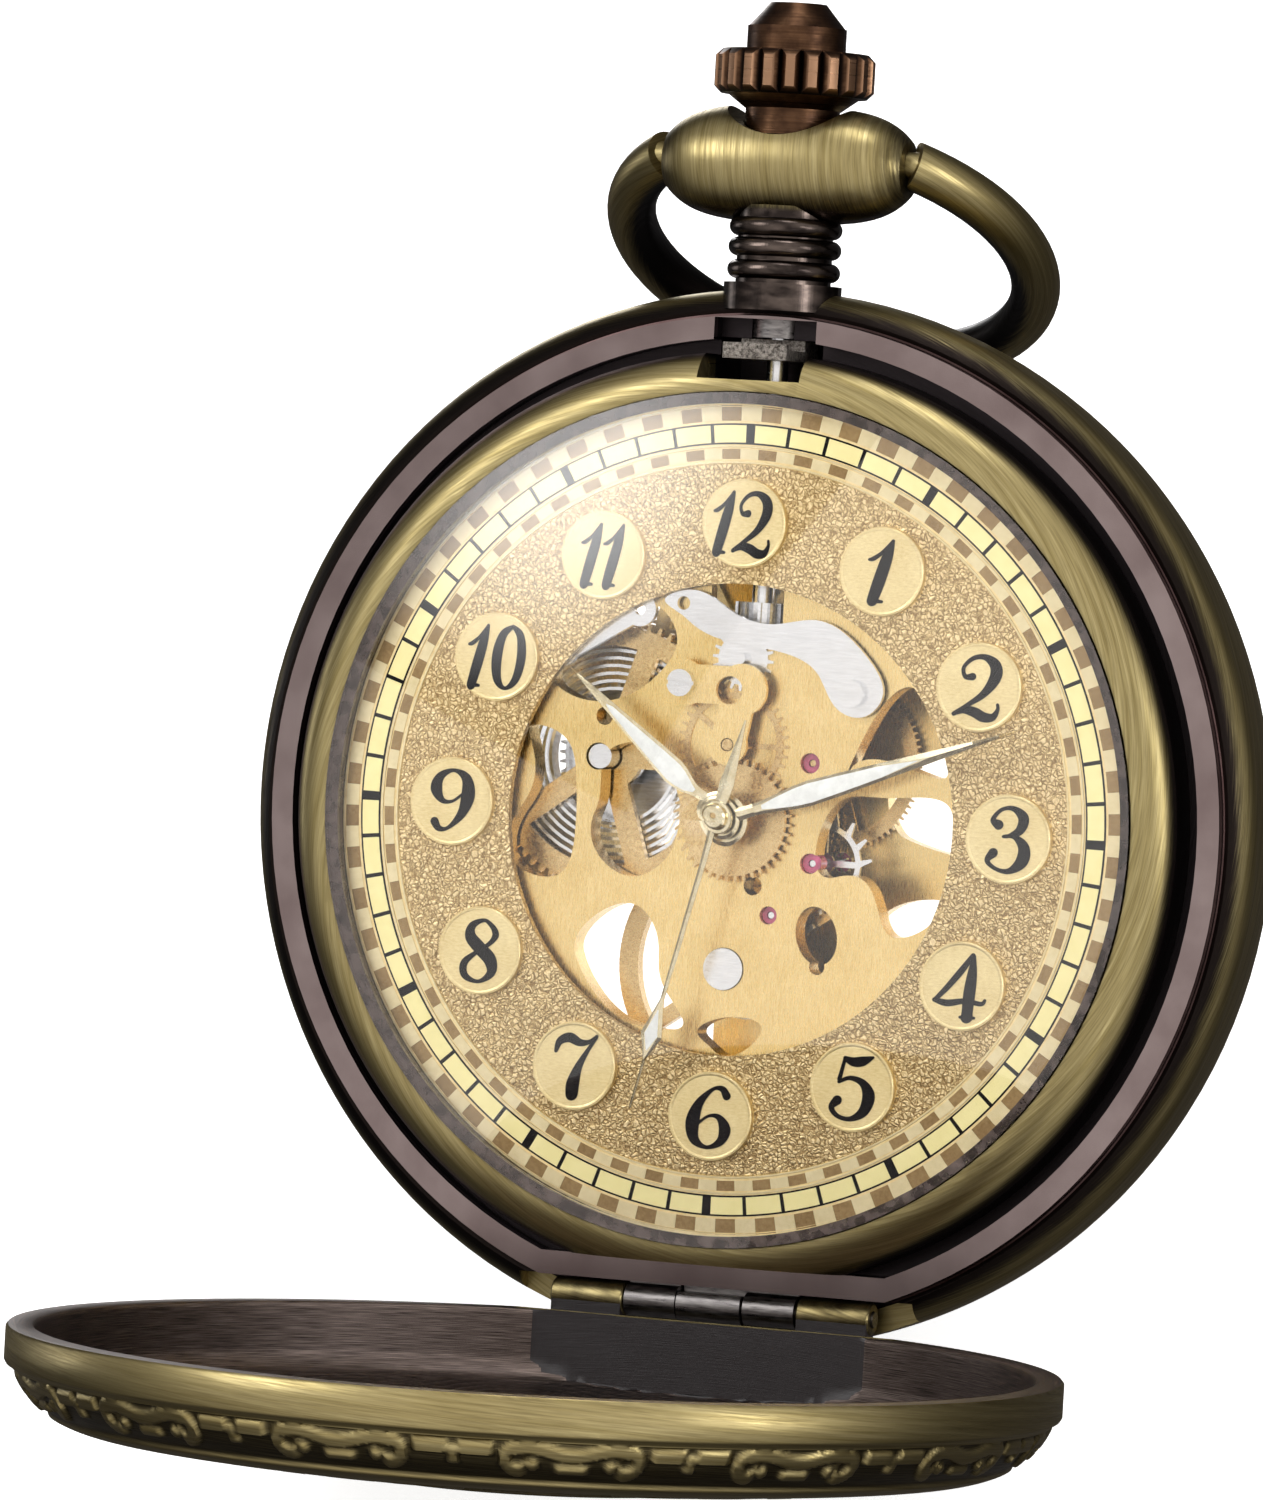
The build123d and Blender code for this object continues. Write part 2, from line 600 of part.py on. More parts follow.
def main_plate():
    """The skeletonised base plate, with a bore for every arbor."""
    outline = Circle(MOVEMENT_R)
    for window in plate_windows():
        outline -= window
    outline -= at((0, 9.5), Rectangle(3.4, 2.8))
    body = plate(outline, *PLATE_Y)
    bores = [(CENTRE, 1.15), (THIRD, 0.45), (ESCAPE, 0.45), (PALLET, 0.4), (BALANCE, 0.95),
             (MINUTE_WHEEL, 0.3), (SETTING_WHEEL, 0.3), (BARREL, 0.6)]
    for axis, radius in bores:
        body -= post(radius, 0, 3, axis)
    for clock in DIAL_FEET:
        body -= post(0.45, 0, 3, polar(FEET_CIRCLE_R, clock))
    return body - block((-1.9, 1.9), (1.5, 4), (6.6, 20)) - block((-1.9, 1.9), (1.0, 4), (10.2, 13.4))


def pillars():
    """Posts that carry the rear bridges."""
    return [post(0.9, PLATE_Y[1], BRIDGE_Y[0], axis) for axis in pillar_axes()]


def pillar_axes():
    return [polar(FEET_CIRCLE_R, clock) for clock in (35, 80, 115, 150, 250, 290, 325)]


def barrel_bridge():
    """The rear bridge over the barrel and the winding wheels."""
    shape = Circle(MOVEMENT_R) - at((8.2, -8.1), Rectangle(26, 30)) - at((0, -14), Rectangle(40, 20))
    shape -= rounded((-8.2, 8.6), (-4.0, 11.6), (1.0, 11.9), (4.2, 9.4), (1.4, 10.2), (-3.4, 9.6))
    shape -= rounded((-13.6, 4.0), (-11.0, 6.2), (-9.4, 4.6), (-9.8, 1.6), (-13.4, 1.2))
    body = plate(shape, *BRIDGE_Y)
    body -= post(0.6, 4, 7, BARREL)
    return drilled(body)


def train_bridge():
    """The rear bridge over the wheel train, on the right."""
    shape = Circle(MOVEMENT_R) & at((11.5, -1.8), Rectangle(24.6, 17.0))
    shape += Circle(1.6)
    shape -= rounded((5.6, 1.2), (8.6, 3.6), (13.2, 3.0), (13.6, -0.6), (9.6, -1.2), (6.4, -0.4))
    shape -= rounded((5.4, -4.2), (9.4, -3.2), (12.6, -5.4), (9.8, -8.4), (5.4, -7.8))
    body = plate(shape, *BRIDGE_Y)
    for axis in (CENTRE, THIRD, ESCAPE):
        body -= post(0.45, 4, 7, axis)
    return drilled(body)


def drilled(body):
    """Leaves room for the screw heads and threads over each pillar."""
    for axis in pillar_axes():
        body -= post(0.5, 4, 7, axis)
    return body


def balance_cock():
    """The cock that holds the balance, fixed at the lower edge of the plate."""
    arm = bar(BALANCE, (0, -16), 3.2) + at(BALANCE, Circle(2.1))
    foot = at((0, -15), Rectangle(6.5, 3.4)) & Circle(MOVEMENT_R)
    body = plate(arm & Circle(MOVEMENT_R), 4.2, 5.0) + plate(foot, PLATE_Y[1], 5.0)
    for axis in COCK_SCREWS:
        body -= post(0.5, 4.2, 6, axis)
    return body - post(0.35, 4, 6, BALANCE)


def jewels():
    """Ruby bearings, pressed into the plate, the bridge and the cock."""
    front = [(THIRD, 0.43), (ESCAPE, 0.43), (PALLET, 0.38)]
    rear = [(CENTRE, 0.43), (THIRD, 0.43), (ESCAPE, 0.43)]
    solids = []
    for group, (y0, y1) in ((front, (1.1, 1.9)), (rear, (5.1, 5.9))):
        for axis, radius in group:
            solids.append(post(radius, y0, y1, axis) - post(ARBOR_R + 0.03, 0, 7, axis))
    solids.append(post(0.33, 4.3, 4.9, BALANCE) - post(ARBOR_R + 0.03, 4, 5.2, BALANCE))
    return solids


def shock_setting():
    """The sprung jewel holder in the plate under the balance."""
    return post(0.92, 0.7, 1.9, BALANCE) - post(ARBOR_R + 0.03, 1.3, 3, BALANCE)


def screw(axis, head_y, head_r, point_y):
    """A slotted screw whose head is at the front (head_y < point_y) or at the back."""
    toward = 1 if point_y > head_y else -1
    low, high = sorted((head_y, head_y + toward * 0.4))
    body = post(head_r, low, high, axis)
    low, high = sorted((head_y, point_y))
    body += post(head_r * 0.55, low, high, axis)
    slot = sorted((head_y - toward, head_y + toward * 0.18))
    return body - block((axis[0] - 2, axis[0] + 2), slot, (axis[1] - 0.09, axis[1] + 0.09))


def bridge_screws():
    """Screws over each pillar and through the cock's foot."""
    heads = [screw(axis, 6.4, 0.8, 5.0) for axis in pillar_axes()]
    return heads + [screw(axis, 5.4, 0.8, 4.3) for axis in COCK_SCREWS]


def motion_bridge():
    """The small front bridge over the minute wheel and the setting wheel."""
    shape = at(MOTION_SCREW, Circle(1.05)) + bar(MOTION_SCREW, (0.3, 5.9), 1.7)
    shape += at((0.3, 5.75), Circle(1.15)) + bar((0.2, 5.75), MINUTE_WHEEL, 1.6)
    shape += at(MINUTE_WHEEL, Circle(0.9))
    shape -= at((-0.29, 5.7), Circle(0.62)) + at(MINUTE_WHEEL, Circle(0.3))
    shape -= at(MOTION_SCREW, Circle(0.42))
    return plate(shape, -0.1, 0.15)


def motion_bridge_feet():
    """Spacers that hold the front bridge off the plate."""
    foot = post(0.6, 0.15, PLATE_Y[0], (-2.9, 5.9))
    return [foot - post(0.42, 0, 1, MOTION_SCREW)]


def setting_lever_spring():
    """The steel keyless plate at the upper right."""
    shape = rounded((-3.7, 9.5), (-2.6, 10.0), (-0.6, 9.2), (1.4, 8.7), (3.4, 9.0), (5.9, 7.5),
                    (6.7, 5.8), (5.9, 4.9), (4.6, 5.2), (3.6, 6.7), (1.9, 7.5), (-0.4, 7.8),
                    (-2.6, 8.7))
    shape -= at(LEVER_SCREW, Circle(0.42)) + at((-2.8, 9.4), Circle(0.3))
    boss = post(0.8, 0.55, PLATE_Y[0], LEVER_SCREW) - post(0.42, 0, 1, LEVER_SCREW)
    return plate(shape, 0.3, 0.55) + boss


def keyless_screws():
    return [screw(MOTION_SCREW, -0.51, 0.6, 0.79), screw(LEVER_SCREW, -0.11, 0.6, 0.79)]


def setting_lever():
    """The lever that follows the stem."""
    shape = bar((-4.9, 9.0), (-8.4, 6.9), 0.9) + at((-4.9, 9.0), Circle(0.75))
    shape += at((-8.4, 6.9), Circle(0.6))
    return plate(shape, 0.45, PLATE_Y[0]) - post(0.25, 0, 1, (-4.9, 9.0))


# ---- wheels ----
CENTRE_WHEEL_R = gap(CENTRE, THIRD) * CENTRE_T / (CENTRE_T + THIRD_P)
THIRD_WHEEL_R = gap(CENTRE, THIRD) * THIRD_T / (THIRD_T + FOURTH_P)
FOURTH_WHEEL_R = gap(CENTRE, ESCAPE) * FOURTH_T / (FOURTH_T + ESCAPE_P)
BARREL_WHEEL_R = gap(CENTRE, BARREL) * BARREL_T / (BARREL_T + CENTRE_P)
MINUTE_WHEEL_R = gap(CENTRE, MINUTE_WHEEL) * MINUTE_T / (MINUTE_T + CANNON_P)
HOUR_WHEEL_R = gap(CENTRE, MINUTE_WHEEL) * HOUR_T / (HOUR_T + MINUTE_P)
SETTING_WHEEL_R = gap(MINUTE_WHEEL, SETTING_WHEEL) - MINUTE_WHEEL_R
RATCHET_R = gap(BARREL, CROWN_WHEEL) * RATCHET_T / (RATCHET_T + CROWN_WHEEL_T)
CROWN_WHEEL_R = gap(BARREL, CROWN_WHEEL) - RATCHET_R


def mesh_phase(driver_phase, driver_t, angle, driven_t):
    """Phase of a driven gear whose gaps meet the driver's teeth at the line of centres."""
    along = (angle - driver_phase) % (360 / driver_t)
    turn = along * driver_t / driven_t
    return angle + 180 + turn + 180 / driven_t


def wheel(axis, teeth, radius, layer, phase, spokes=5, bore=ARBOR_R):
    """A spoked train wheel."""
    outline = spoked(gear(teeth, radius, phase), radius * 0.82, radius * 0.2 + bore, spokes,
                     radius * 0.1, bore)
    return plate(at(axis, outline), *layer)


def pinion(axis, leaves, radius, layer, phase, bore=0.0):
    """A pinion outline as a solid."""
    outline = gear(leaves, radius, phase)
    if bore:
        outline -= facet(bore)
    return plate(at(axis, outline), *layer)


def arbor(axis, y0, y1, radius=ARBOR_R):
    return plate(at(axis, facet(radius)), y0, y1)


CENTRE_TUBE_R = 0.45


def barrel():
    """The toothed drum with its open lid, for the mainspring."""
    flange = gear(BARREL_T, BARREL_WHEEL_R)
    arms = Sketch()
    for i in range(5):
        end = (5.3 * cos(2 * pi * i / 5), 5.3 * sin(2 * pi * i / 5))
        arms += bar((0, 0), end, 1.0)
    flange = flange - facet(4.9, 60) + arms + facet(1.5)
    body = plate(at(BARREL, flange - facet(0.62)), *BARREL_TEETH_Y)
    body += plate(at(BARREL, facet(BARREL_DRUM_R, 72) - facet(4.9, 72)), BARREL_TEETH_Y[1] - 0.2,
                  BARREL_DRUM_Y[1])
    return body


def mainspring():
    """The coiled blade inside the drum, as a stack of thin rings."""
    coils = []
    for i in range(6):
        r = 4.78 - i * 0.34
        coils.append(plate(at(BARREL, facet(r, 48) - facet(r - 0.14, 48)), 2.68, 3.5))
    return coils


def barrel_arbor():
    body = arbor(BARREL, 1.0, 5.9, 0.55)
    return body + arbor(BARREL, 2.66, 3.5, 1.3)


def ratchet_wheel():
    outline = gear(RATCHET_T, RATCHET_R) - facet(0.58)
    return plate(at(BARREL, outline), *RATCHET_Y)


def crown_wheel():
    phase = mesh_phase(0, RATCHET_T, bearing(BARREL, CROWN_WHEEL), CROWN_WHEEL_T)
    outline = spoked(gear(CROWN_WHEEL_T, CROWN_WHEEL_R, phase), CROWN_WHEEL_R * 0.8, 1.3, 6, 0.5, 0.7)
    return plate(at(CROWN_WHEEL, outline), *RATCHET_Y)


def crown_wheel_core():
    """The shouldered stud under the bridge that the crown wheel turns on."""
    return post(0.66, RATCHET_Y[0] - 0.1, BRIDGE_Y[0], CROWN_WHEEL) + post(
        1.0, RATCHET_Y[0] - 0.25, RATCHET_Y[0] - 0.05, CROWN_WHEEL)


def click():
    """The pawl that holds the ratchet wheel."""
    shape = flat((-9.42, 0.5), (-10.5, -0.7), (-12.0, -1.5), (-12.7, -0.7), (-11.2, 0.5))
    return plate(shape, *RATCHET_Y) + post(0.4, RATCHET_Y[1], BRIDGE_Y[0], (-11.8, -0.7))


def centre_wheel():
    """Centre wheel and its pinion on one hollow arbor."""
    phase = mesh_phase(0, BARREL_T, bearing(BARREL, CENTRE), CENTRE_P)
    radius = gap(CENTRE, BARREL) - BARREL_WHEEL_R
    body = wheel(CENTRE, CENTRE_T, CENTRE_WHEEL_R, CENTRE_WHEEL_Y, 0, 5, CENTRE_TUBE_R)
    body += pinion(CENTRE, CENTRE_P, radius, BARREL_TEETH_Y, phase)
    body += arbor(CENTRE, BARREL_TEETH_Y[0], CENTRE_WHEEL_Y[1] + 0.1, CENTRE_TUBE_R)
    return body - arbor(CENTRE, 0, 6, ARBOR_R + 0.06)


def third_wheel():
    phase = mesh_phase(0, CENTRE_T, bearing(CENTRE, THIRD), THIRD_P)
    radius = gap(CENTRE, THIRD) - CENTRE_WHEEL_R
    body = wheel(THIRD, THIRD_T, THIRD_WHEEL_R, THIRD_WHEEL_Y, phase)
    body += pinion(THIRD, THIRD_P, radius, (CENTRE_WHEEL_Y[0] - 0.1, THIRD_WHEEL_Y[0]), phase)
    return body + arbor(THIRD, 1.2, 5.8)


def fourth_wheel():
    """The wheel that carries the seconds hand, on an arbor through the centre."""
    third_phase = mesh_phase(0, CENTRE_T, bearing(CENTRE, THIRD), THIRD_P)
    phase = mesh_phase(third_phase, THIRD_T, bearing(THIRD, CENTRE), FOURTH_P)
    radius = gap(CENTRE, THIRD) - THIRD_WHEEL_R
    body = wheel(CENTRE, FOURTH_T, FOURTH_WHEEL_R, FOURTH_WHEEL_Y, phase)
    body += pinion(CENTRE, FOURTH_P, radius, (THIRD_WHEEL_Y[0] - 0.1, FOURTH_WHEEL_Y[0]), phase)
    return body + arbor(CENTRE, -2.05, 5.8)


def escape_phase():
    third_phase = mesh_phase(0, CENTRE_T, bearing(CENTRE, THIRD), THIRD_P)
    fourth_phase = mesh_phase(third_phase, THIRD_T, bearing(THIRD, CENTRE), FOURTH_P)
    return mesh_phase(fourth_phase, FOURTH_T, bearing(CENTRE, ESCAPE), ESCAPE_P)


def escape_wheel():
    """The club-toothed escape wheel with its pinion."""
    corners = []
    for i in range(ESCAPE_T):
        for radius, share in ((1.75, -0.1), (ESCAPE_R, 0.22), (ESCAPE_R - 0.06, 0.34), (1.75, 0.3)):
            angle = radians(360 / ESCAPE_T * (i + share))
            corners.append((radius * cos(angle), radius * sin(angle)))
    outline = spoked(flat(*corners), 1.5, 0.5, 4, 0.28, ARBOR_R)
    body = plate(at(ESCAPE, outline), *ESCAPE_WHEEL_Y)
    radius = gap(CENTRE, ESCAPE) - FOURTH_WHEEL_R
    layer = (FOURTH_WHEEL_Y[0] - 0.08, FOURTH_WHEEL_Y[1] + 0.08)
    body += pinion(ESCAPE, ESCAPE_P, radius, layer, escape_phase())
    return body + arbor(ESCAPE, 1.2, 5.8)


def pallet_fork():
    """The fork that locks the escape wheel."""
    toward = bearing(PALLET, BALANCE)
    fork = bar((0, 0), (2.2, 0), 0.3) + Pos(2.3, 0.22) * Rectangle(0.5, 0.14)
    fork += Pos(2.3, -0.22) * Rectangle(0.5, 0.14) + Pos(2.1, 0) * Rectangle(0.2, 0.55)
    arms = Sketch()
    for sign in (-1, 1):
        arms += bar((0, 0), (-0.25, sign * 1.45), 0.3)
        arms += bar((-0.2, sign * 1.35), (-0.62, sign * 1.42), 0.22)
    shape = Rot(0, 0, toward) * (fork + arms + facet(0.35))
    body = plate(at(PALLET, shape), *ESCAPE_WHEEL_Y)
    return body + arbor(PALLET, 1.2, 2.95)


def balance_wheel():
    """The balance with its rim, two arms, roller and staff."""
    rim = facet(BALANCE_R[1], 72) - facet(BALANCE_R[0], 72)
    rim += bar((-BALANCE_R[0] - 0.2, 0), (BALANCE_R[0] + 0.2, 0), 0.7) + facet(0.75)
    body = plate(at(BALANCE, Rot(0, 0, 35) * rim), *BALANCE_RIM_Y)
    body += arbor(BALANCE, 2.62, BALANCE_RIM_Y[0], 0.42)
    return body + arbor(BALANCE, 1.4, 4.7)


def hairspring():
    """The flat spiral over the balance, as fine rings held by a stud arm."""
    rings = Sketch()
    for i in range(7):
        radius = 0.7 + i * 0.26
        rings += facet(radius + 0.05, 36) - facet(radius - 0.03, 36)
    rings += bar((0.3, 0), (2.35, 0), 0.12) + facet(0.42) - facet(ARBOR_R + 0.02)
    return plate(at(BALANCE, rings), 3.75, 3.95)


def cannon_pinion():
    """The tube that carries the minute hand, with its pinion."""
    body = pinion(CENTRE, CANNON_P, gap(CENTRE, MINUTE_WHEEL) - MINUTE_WHEEL_R, (0.72, 1.1), 0)
    body += arbor(CENTRE, MINUTE_HAND[2], 2.15, 0.43)
    return body - arbor(CENTRE, -3, 3, ARBOR_R + 0.06)


def minute_wheel():
    phase = mesh_phase(0, CANNON_P, bearing(CENTRE, MINUTE_WHEEL), MINUTE_T)
    body = wheel(MINUTE_WHEEL, MINUTE_T, MINUTE_WHEEL_R, (0.72, 0.79), phase)
    radius = gap(CENTRE, MINUTE_WHEEL) - HOUR_WHEEL_R
    body += pinion(MINUTE_WHEEL, MINUTE_P, radius, (0.3, 0.72), phase)
    return body + arbor(MINUTE_WHEEL, -0.08, 1.8, 0.25)


def hour_wheel():
    """The hour wheel with the pipe that carries the hour hand."""
    minute_phase = mesh_phase(0, CANNON_P, bearing(CENTRE, MINUTE_WHEEL), MINUTE_T)
    phase = mesh_phase(minute_phase, MINUTE_P, bearing(MINUTE_WHEEL, CENTRE), HOUR_T)
    outline = gear(HOUR_T, HOUR_WHEEL_R, phase) - facet(0.52)
    body = plate(outline, 0.35, 0.6)
    return body + (arbor(CENTRE, HOUR_HAND[2], 0.6, 0.73) - arbor(CENTRE, -3, 3, 0.52))


def setting_wheel():
    phase = mesh_phase(mesh_phase(0, CANNON_P, bearing(CENTRE, MINUTE_WHEEL), MINUTE_T), MINUTE_T,
                       bearing(MINUTE_WHEEL, SETTING_WHEEL), SETTING_T)
    body = pinion(SETTING_WHEEL, SETTING_T, SETTING_WHEEL_R, (0.66, 0.79), phase)
    return body + arbor(SETTING_WHEEL, 0.2, 1.4, 0.25)


def stem_gear(z0, z1, teeth, radius):
    """A toothed sleeve on the stem."""
    outline = gear(teeth, radius) - Circle(STEM_R)
    return Pos(0, STEM_Y, z0) * extrude(outline, amount=z1 - z0)


def winding_pinion():
    return stem_gear(10.5, 12.3, 18, 1.62)


def sliding_pinion():
    return stem_gear(7.6, 9.6, 14, 1.1)


NODES = {
    "case_middle": case_middle, "front_bezel": front_bezel, "front_crystal": front_crystal,
    "rehaut_ring": rehaut, "back_bezel": back_bezel, "back_crystal": back_crystal,
    "back_crystal_ring": back_crystal_ring, "front_cover": lid, "hinge_pin": hinge_pin,
    "case_hinge_knuckles": case_knuckles, "lift_spring_finger": lift_spring, "pendant": pendant,
    "bow": bow, "crown": crown, "crown_cap": crown_cap, "winding_stem": winding_stem,
    "release_sleeve": release_sleeve, "stem_collar": stem_collar, "cover_catch": catch,
    "dial": dial, "numeral_discs": numeral_discs, "hour_hand": hour_hand,
    "minute_hand": minute_hand, "second_hand": second_hand, "movement_ring": movement_ring,
    "main_plate": main_plate, "bridge_pillars": pillars, "barrel_bridge": barrel_bridge,
    "train_bridge": train_bridge, "balance_cock": balance_cock, "jewels": jewels,
    "shock_setting": shock_setting, "bridge_screws": bridge_screws,
    "motion_bridge": motion_bridge, "motion_bridge_foot": motion_bridge_feet,
    "setting_lever_spring": setting_lever_spring, "setting_lever": setting_lever,
    "keyless_screws": keyless_screws, "barrel": barrel, "mainspring": mainspring,
    "barrel_arbor": barrel_arbor, "ratchet_wheel": ratchet_wheel, "crown_wheel": crown_wheel,
    "crown_wheel_core": crown_wheel_core, "click": click, "centre_wheel": centre_wheel,
    "third_wheel": third_wheel, "fourth_wheel": fourth_wheel, "escape_wheel": escape_wheel,
    "pallet_fork": pallet_fork, "balance_wheel": balance_wheel, "hairspring": hairspring,
    "cannon_pinion": cannon_pinion, "minute_wheel": minute_wheel, "hour_wheel": hour_wheel,
    "setting_wheel": setting_wheel, "winding_pinion": winding_pinion,
    "sliding_pinion": sliding_pinion,
}


# ---- standing place ----
def sampled(edges, place):
    """Points along outline edges, put through a function of radius and Y."""
    points = [edge @ (i / 24) for edge in edges for i in range(25)]
    return [place(point.X, point.Y) for point in points]


def standing_lean():
    """Lean that stands the watch on the open cover and on the rear of the case."""
    case_points = sampled(case_back_edges(), lambda r, y: (y, -r))
    lid_points = []
    for r, y in sampled(lid_outer_edges(), lambda r, y: (r, y)):
        if r <= -LID_CHORD_Z:
            lid_points.append((HINGE_Y - (-r - HINGE_Z), HINGE_Z + (y - HINGE_Y)))
    best = None
    for front in lid_points:
        for back in case_points:
            slope = (back[1] - front[1]) / (back[0] - front[0])
            low = min(z - (front[1] + slope * (y - front[0])) for y, z in lid_points + case_points)
            if best is None or low > best[0]:
                best = (low, degrees(atan2(slope, 1)))
    return best[1]


def main():
    os.makedirs("parts", exist_ok=True)
    lean = standing_lean()
    tilt = Rot(-lean, 0, 0)
    built = {}
    for name, make in NODES.items():
        made = make()
        pieces = made if isinstance(made, list) else [made]
        built[name] = [tilt * solid for piece in pieces for solid in piece.solids()]
    box = Compound([s for solids in built.values() for s in solids]).bounding_box()
    shift = Pos(-(box.min.X + box.max.X) / 2, -(box.min.Y + box.max.Y) / 2, -box.min.Z)
    print(f"lean {lean:.4f}  shift {tuple(shift.position)}")
    for name, solids in built.items():
        moved = [shift * solid for solid in solids]
        part = moved[0] if len(moved) == 1 else Compound(children=moved)
        part.label = name
        export_step(part, f"parts/{name}.step")


main()
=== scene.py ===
"""Looks of the pocket watch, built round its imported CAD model.

Shapes are drawn in millimetres in the case frame: origin on the dial's front face, +X to
3 o'clock, +Z to 12 o'clock, +Y to the back. The CASE matrix carries them to the row frame.
The cover is drawn closed, and the COVER matrix carries it to its stored, open place.
"""

import json
from math import asin, atan2, cos, hypot, pi, radians, sin, sqrt, tau

import bmesh
import bpy
from mathutils import Matrix, Vector


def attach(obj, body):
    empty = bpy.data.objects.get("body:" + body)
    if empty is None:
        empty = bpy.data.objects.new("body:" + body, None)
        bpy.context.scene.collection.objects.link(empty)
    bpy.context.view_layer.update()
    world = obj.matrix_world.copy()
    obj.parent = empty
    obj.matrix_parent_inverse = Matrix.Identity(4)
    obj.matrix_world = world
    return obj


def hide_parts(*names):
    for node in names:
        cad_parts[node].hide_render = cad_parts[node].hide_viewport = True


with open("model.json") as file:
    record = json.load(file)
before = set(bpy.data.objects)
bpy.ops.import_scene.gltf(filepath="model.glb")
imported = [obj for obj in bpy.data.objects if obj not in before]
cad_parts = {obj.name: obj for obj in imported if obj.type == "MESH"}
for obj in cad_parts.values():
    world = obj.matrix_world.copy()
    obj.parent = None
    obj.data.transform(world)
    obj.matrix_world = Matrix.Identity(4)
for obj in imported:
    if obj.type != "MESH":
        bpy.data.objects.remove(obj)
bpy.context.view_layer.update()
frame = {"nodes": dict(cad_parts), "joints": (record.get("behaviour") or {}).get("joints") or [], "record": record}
nodes = frame["nodes"]
joints = {j["name"]: j for j in frame["joints"]}

# ---- frames ----
MM = 0.001
BACK = Vector(joints["seconds_turn"]["axis"])
UP = Vector(joints["crown_turn"]["axis"])
SECONDS_PIVOT_Y = 3.0       # the record gives the seconds pivot this far behind the dial
ORIGIN = Vector(joints["seconds_turn"]["pos_m"]) - SECONDS_PIVOT_Y * MM * BACK
CASE = Matrix((
    (MM, BACK.x * MM, UP.x * MM, ORIGIN.x),
    (0, BACK.y * MM, UP.y * MM, ORIGIN.y),
    (0, BACK.z * MM, UP.z * MM, ORIGIN.z),
    (0, 0, 0, 1)))
HINGE = CASE.inverted() @ Vector(joints["cover_hinge"]["pos_m"])
COVER = (CASE @ Matrix.Translation(HINGE) @ Matrix.Rotation(pi / 2, 4, "X")
         @ Matrix.Translation(-HINGE))

# ---- sizes taken over from the CAD (mm) ----
LID_R, LID_IN_R = 22.4, 21.2
LID_RIM_Y = 0.75
LAND_STRIP_Z = -19.66        # the land runs straight below this, along the hinge
LAND_R = (20.9, 22.42)      # the polished ring round the bezel
# The groove behind the land is painted black as shade.
GROOVE_R = 22.3             # outside of the dark groove behind it
LIP_HALF_X, LIP_Y, LIP_Z = 1.5, (0.32, 0.7), (20.85, 21.3)
WEB_UP, WEB_INSET = 0.72, 0.06
FACE_CUT, LINING_CUT = 0.2, 0.14
KNURL_Z = (32.1, 34.0)      # the crown's fluted part
LID_CHORD_Z, LID_CHORD_WALL = -20.45, 0.7
LID_LUG_X = (4.1, 7.5)
HINGE_BARREL_R, HINGE_PIN_R = 0.75, 0.39
MEDALLION_R = 8.6
STEM_Y = 2.8
BALL_Z, NECK_TOP_Z = 29.07, 26.9
BOW_PIVOT_Z, BOW_REACH, BOW_TILT = 29.27, 7.3, radians(60)
DISC_R, DISC_CIRCLE_R, DISC_FRONT_Y = 1.95, 13.05, -0.25
HOUR_HAND = dict(length=9.8, clock=-50.0, front=-1.0, back=-0.85)
MINUTE_HAND = dict(length=14.2, clock=70.7, front=-1.35, back=-1.2)
SECOND_HAND = dict(length=13.25, clock=194.2, front=-1.7, back=-1.58)

# ---- dial tracks (mm) ----
INNER_SQUARES = (15.87, 16.32)
MINUTE_TRACK = (16.52, 17.44)
MINUTE_CELLS = (16.6, 17.36)
OUTER_SQUARES = (17.55, 18.16)
SQUARES = 120
CELL_LINE = 0.085           # half the width of the line between two minutes
CELL_BAR = 0.2              # the same at every fifth minute


# ---- mesh helpers ----
def piece(name, points, faces, body, slot, material, place=CASE, sharp=35, relief=None):
    """A mesh given in millimetres, riding on a CAD body."""
    mesh = bpy.data.meshes.new(name)
    mesh.from_pydata([place @ Vector(p) for p in points], [], faces)
    if relief:
        layer = mesh.attributes.new("relief", "FLOAT", "POINT")
        layer.data.foreach_set("value", relief)
    work = bmesh.new()
    work.from_mesh(mesh)
    bmesh.ops.remove_doubles(work, verts=work.verts, dist=1e-7)
    bmesh.ops.dissolve_degenerate(work, edges=work.edges, dist=1e-8)
    bmesh.ops.recalc_face_normals(work, faces=work.faces)
    work.to_mesh(mesh)
    work.free()
    mesh.shade_smooth()
    mesh.set_sharp_from_angle(angle=radians(sharp))
    mesh.materials.append(material)
    obj = bpy.data.objects.new(name, mesh)
    bpy.context.scene.collection.objects.link(obj)
    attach(obj, body)
    return obj


def join(parts):
    """Several (points, faces) lists as one."""
    points, faces = [], []
    for more_points, more_faces in parts:
        start = len(points)
        points += more_points
        faces += [tuple(i + start for i in face) for face in more_faces]
    return points, faces


TURN = {
    "X": lambda r, a, t: (a, r * sin(t), r * cos(t)),
    "Y": lambda r, a, t: (r * sin(t), a, r * cos(t)),
    "Z": lambda r, a, t: (r * sin(t), r * cos(t), a),
}


def spin(profile, steps=192, axis="Y", centre=(0, 0, 0)):
    """A closed outline of (radius, along) turned round an axis."""
    count = len(profile)
    points, faces = [], []
    for i in range(steps):
        for r, a in profile:
            x, y, z = TURN[axis](r, a, tau * i / steps)
            points.append((x + centre[0], y + centre[1], z + centre[2]))
        for j in range(count):
            k = (j + 1) % count
            n = (i + 1) % steps
            faces.append((i * count + j, i * count + k, n * count + k, n * count + j))
    return points, faces


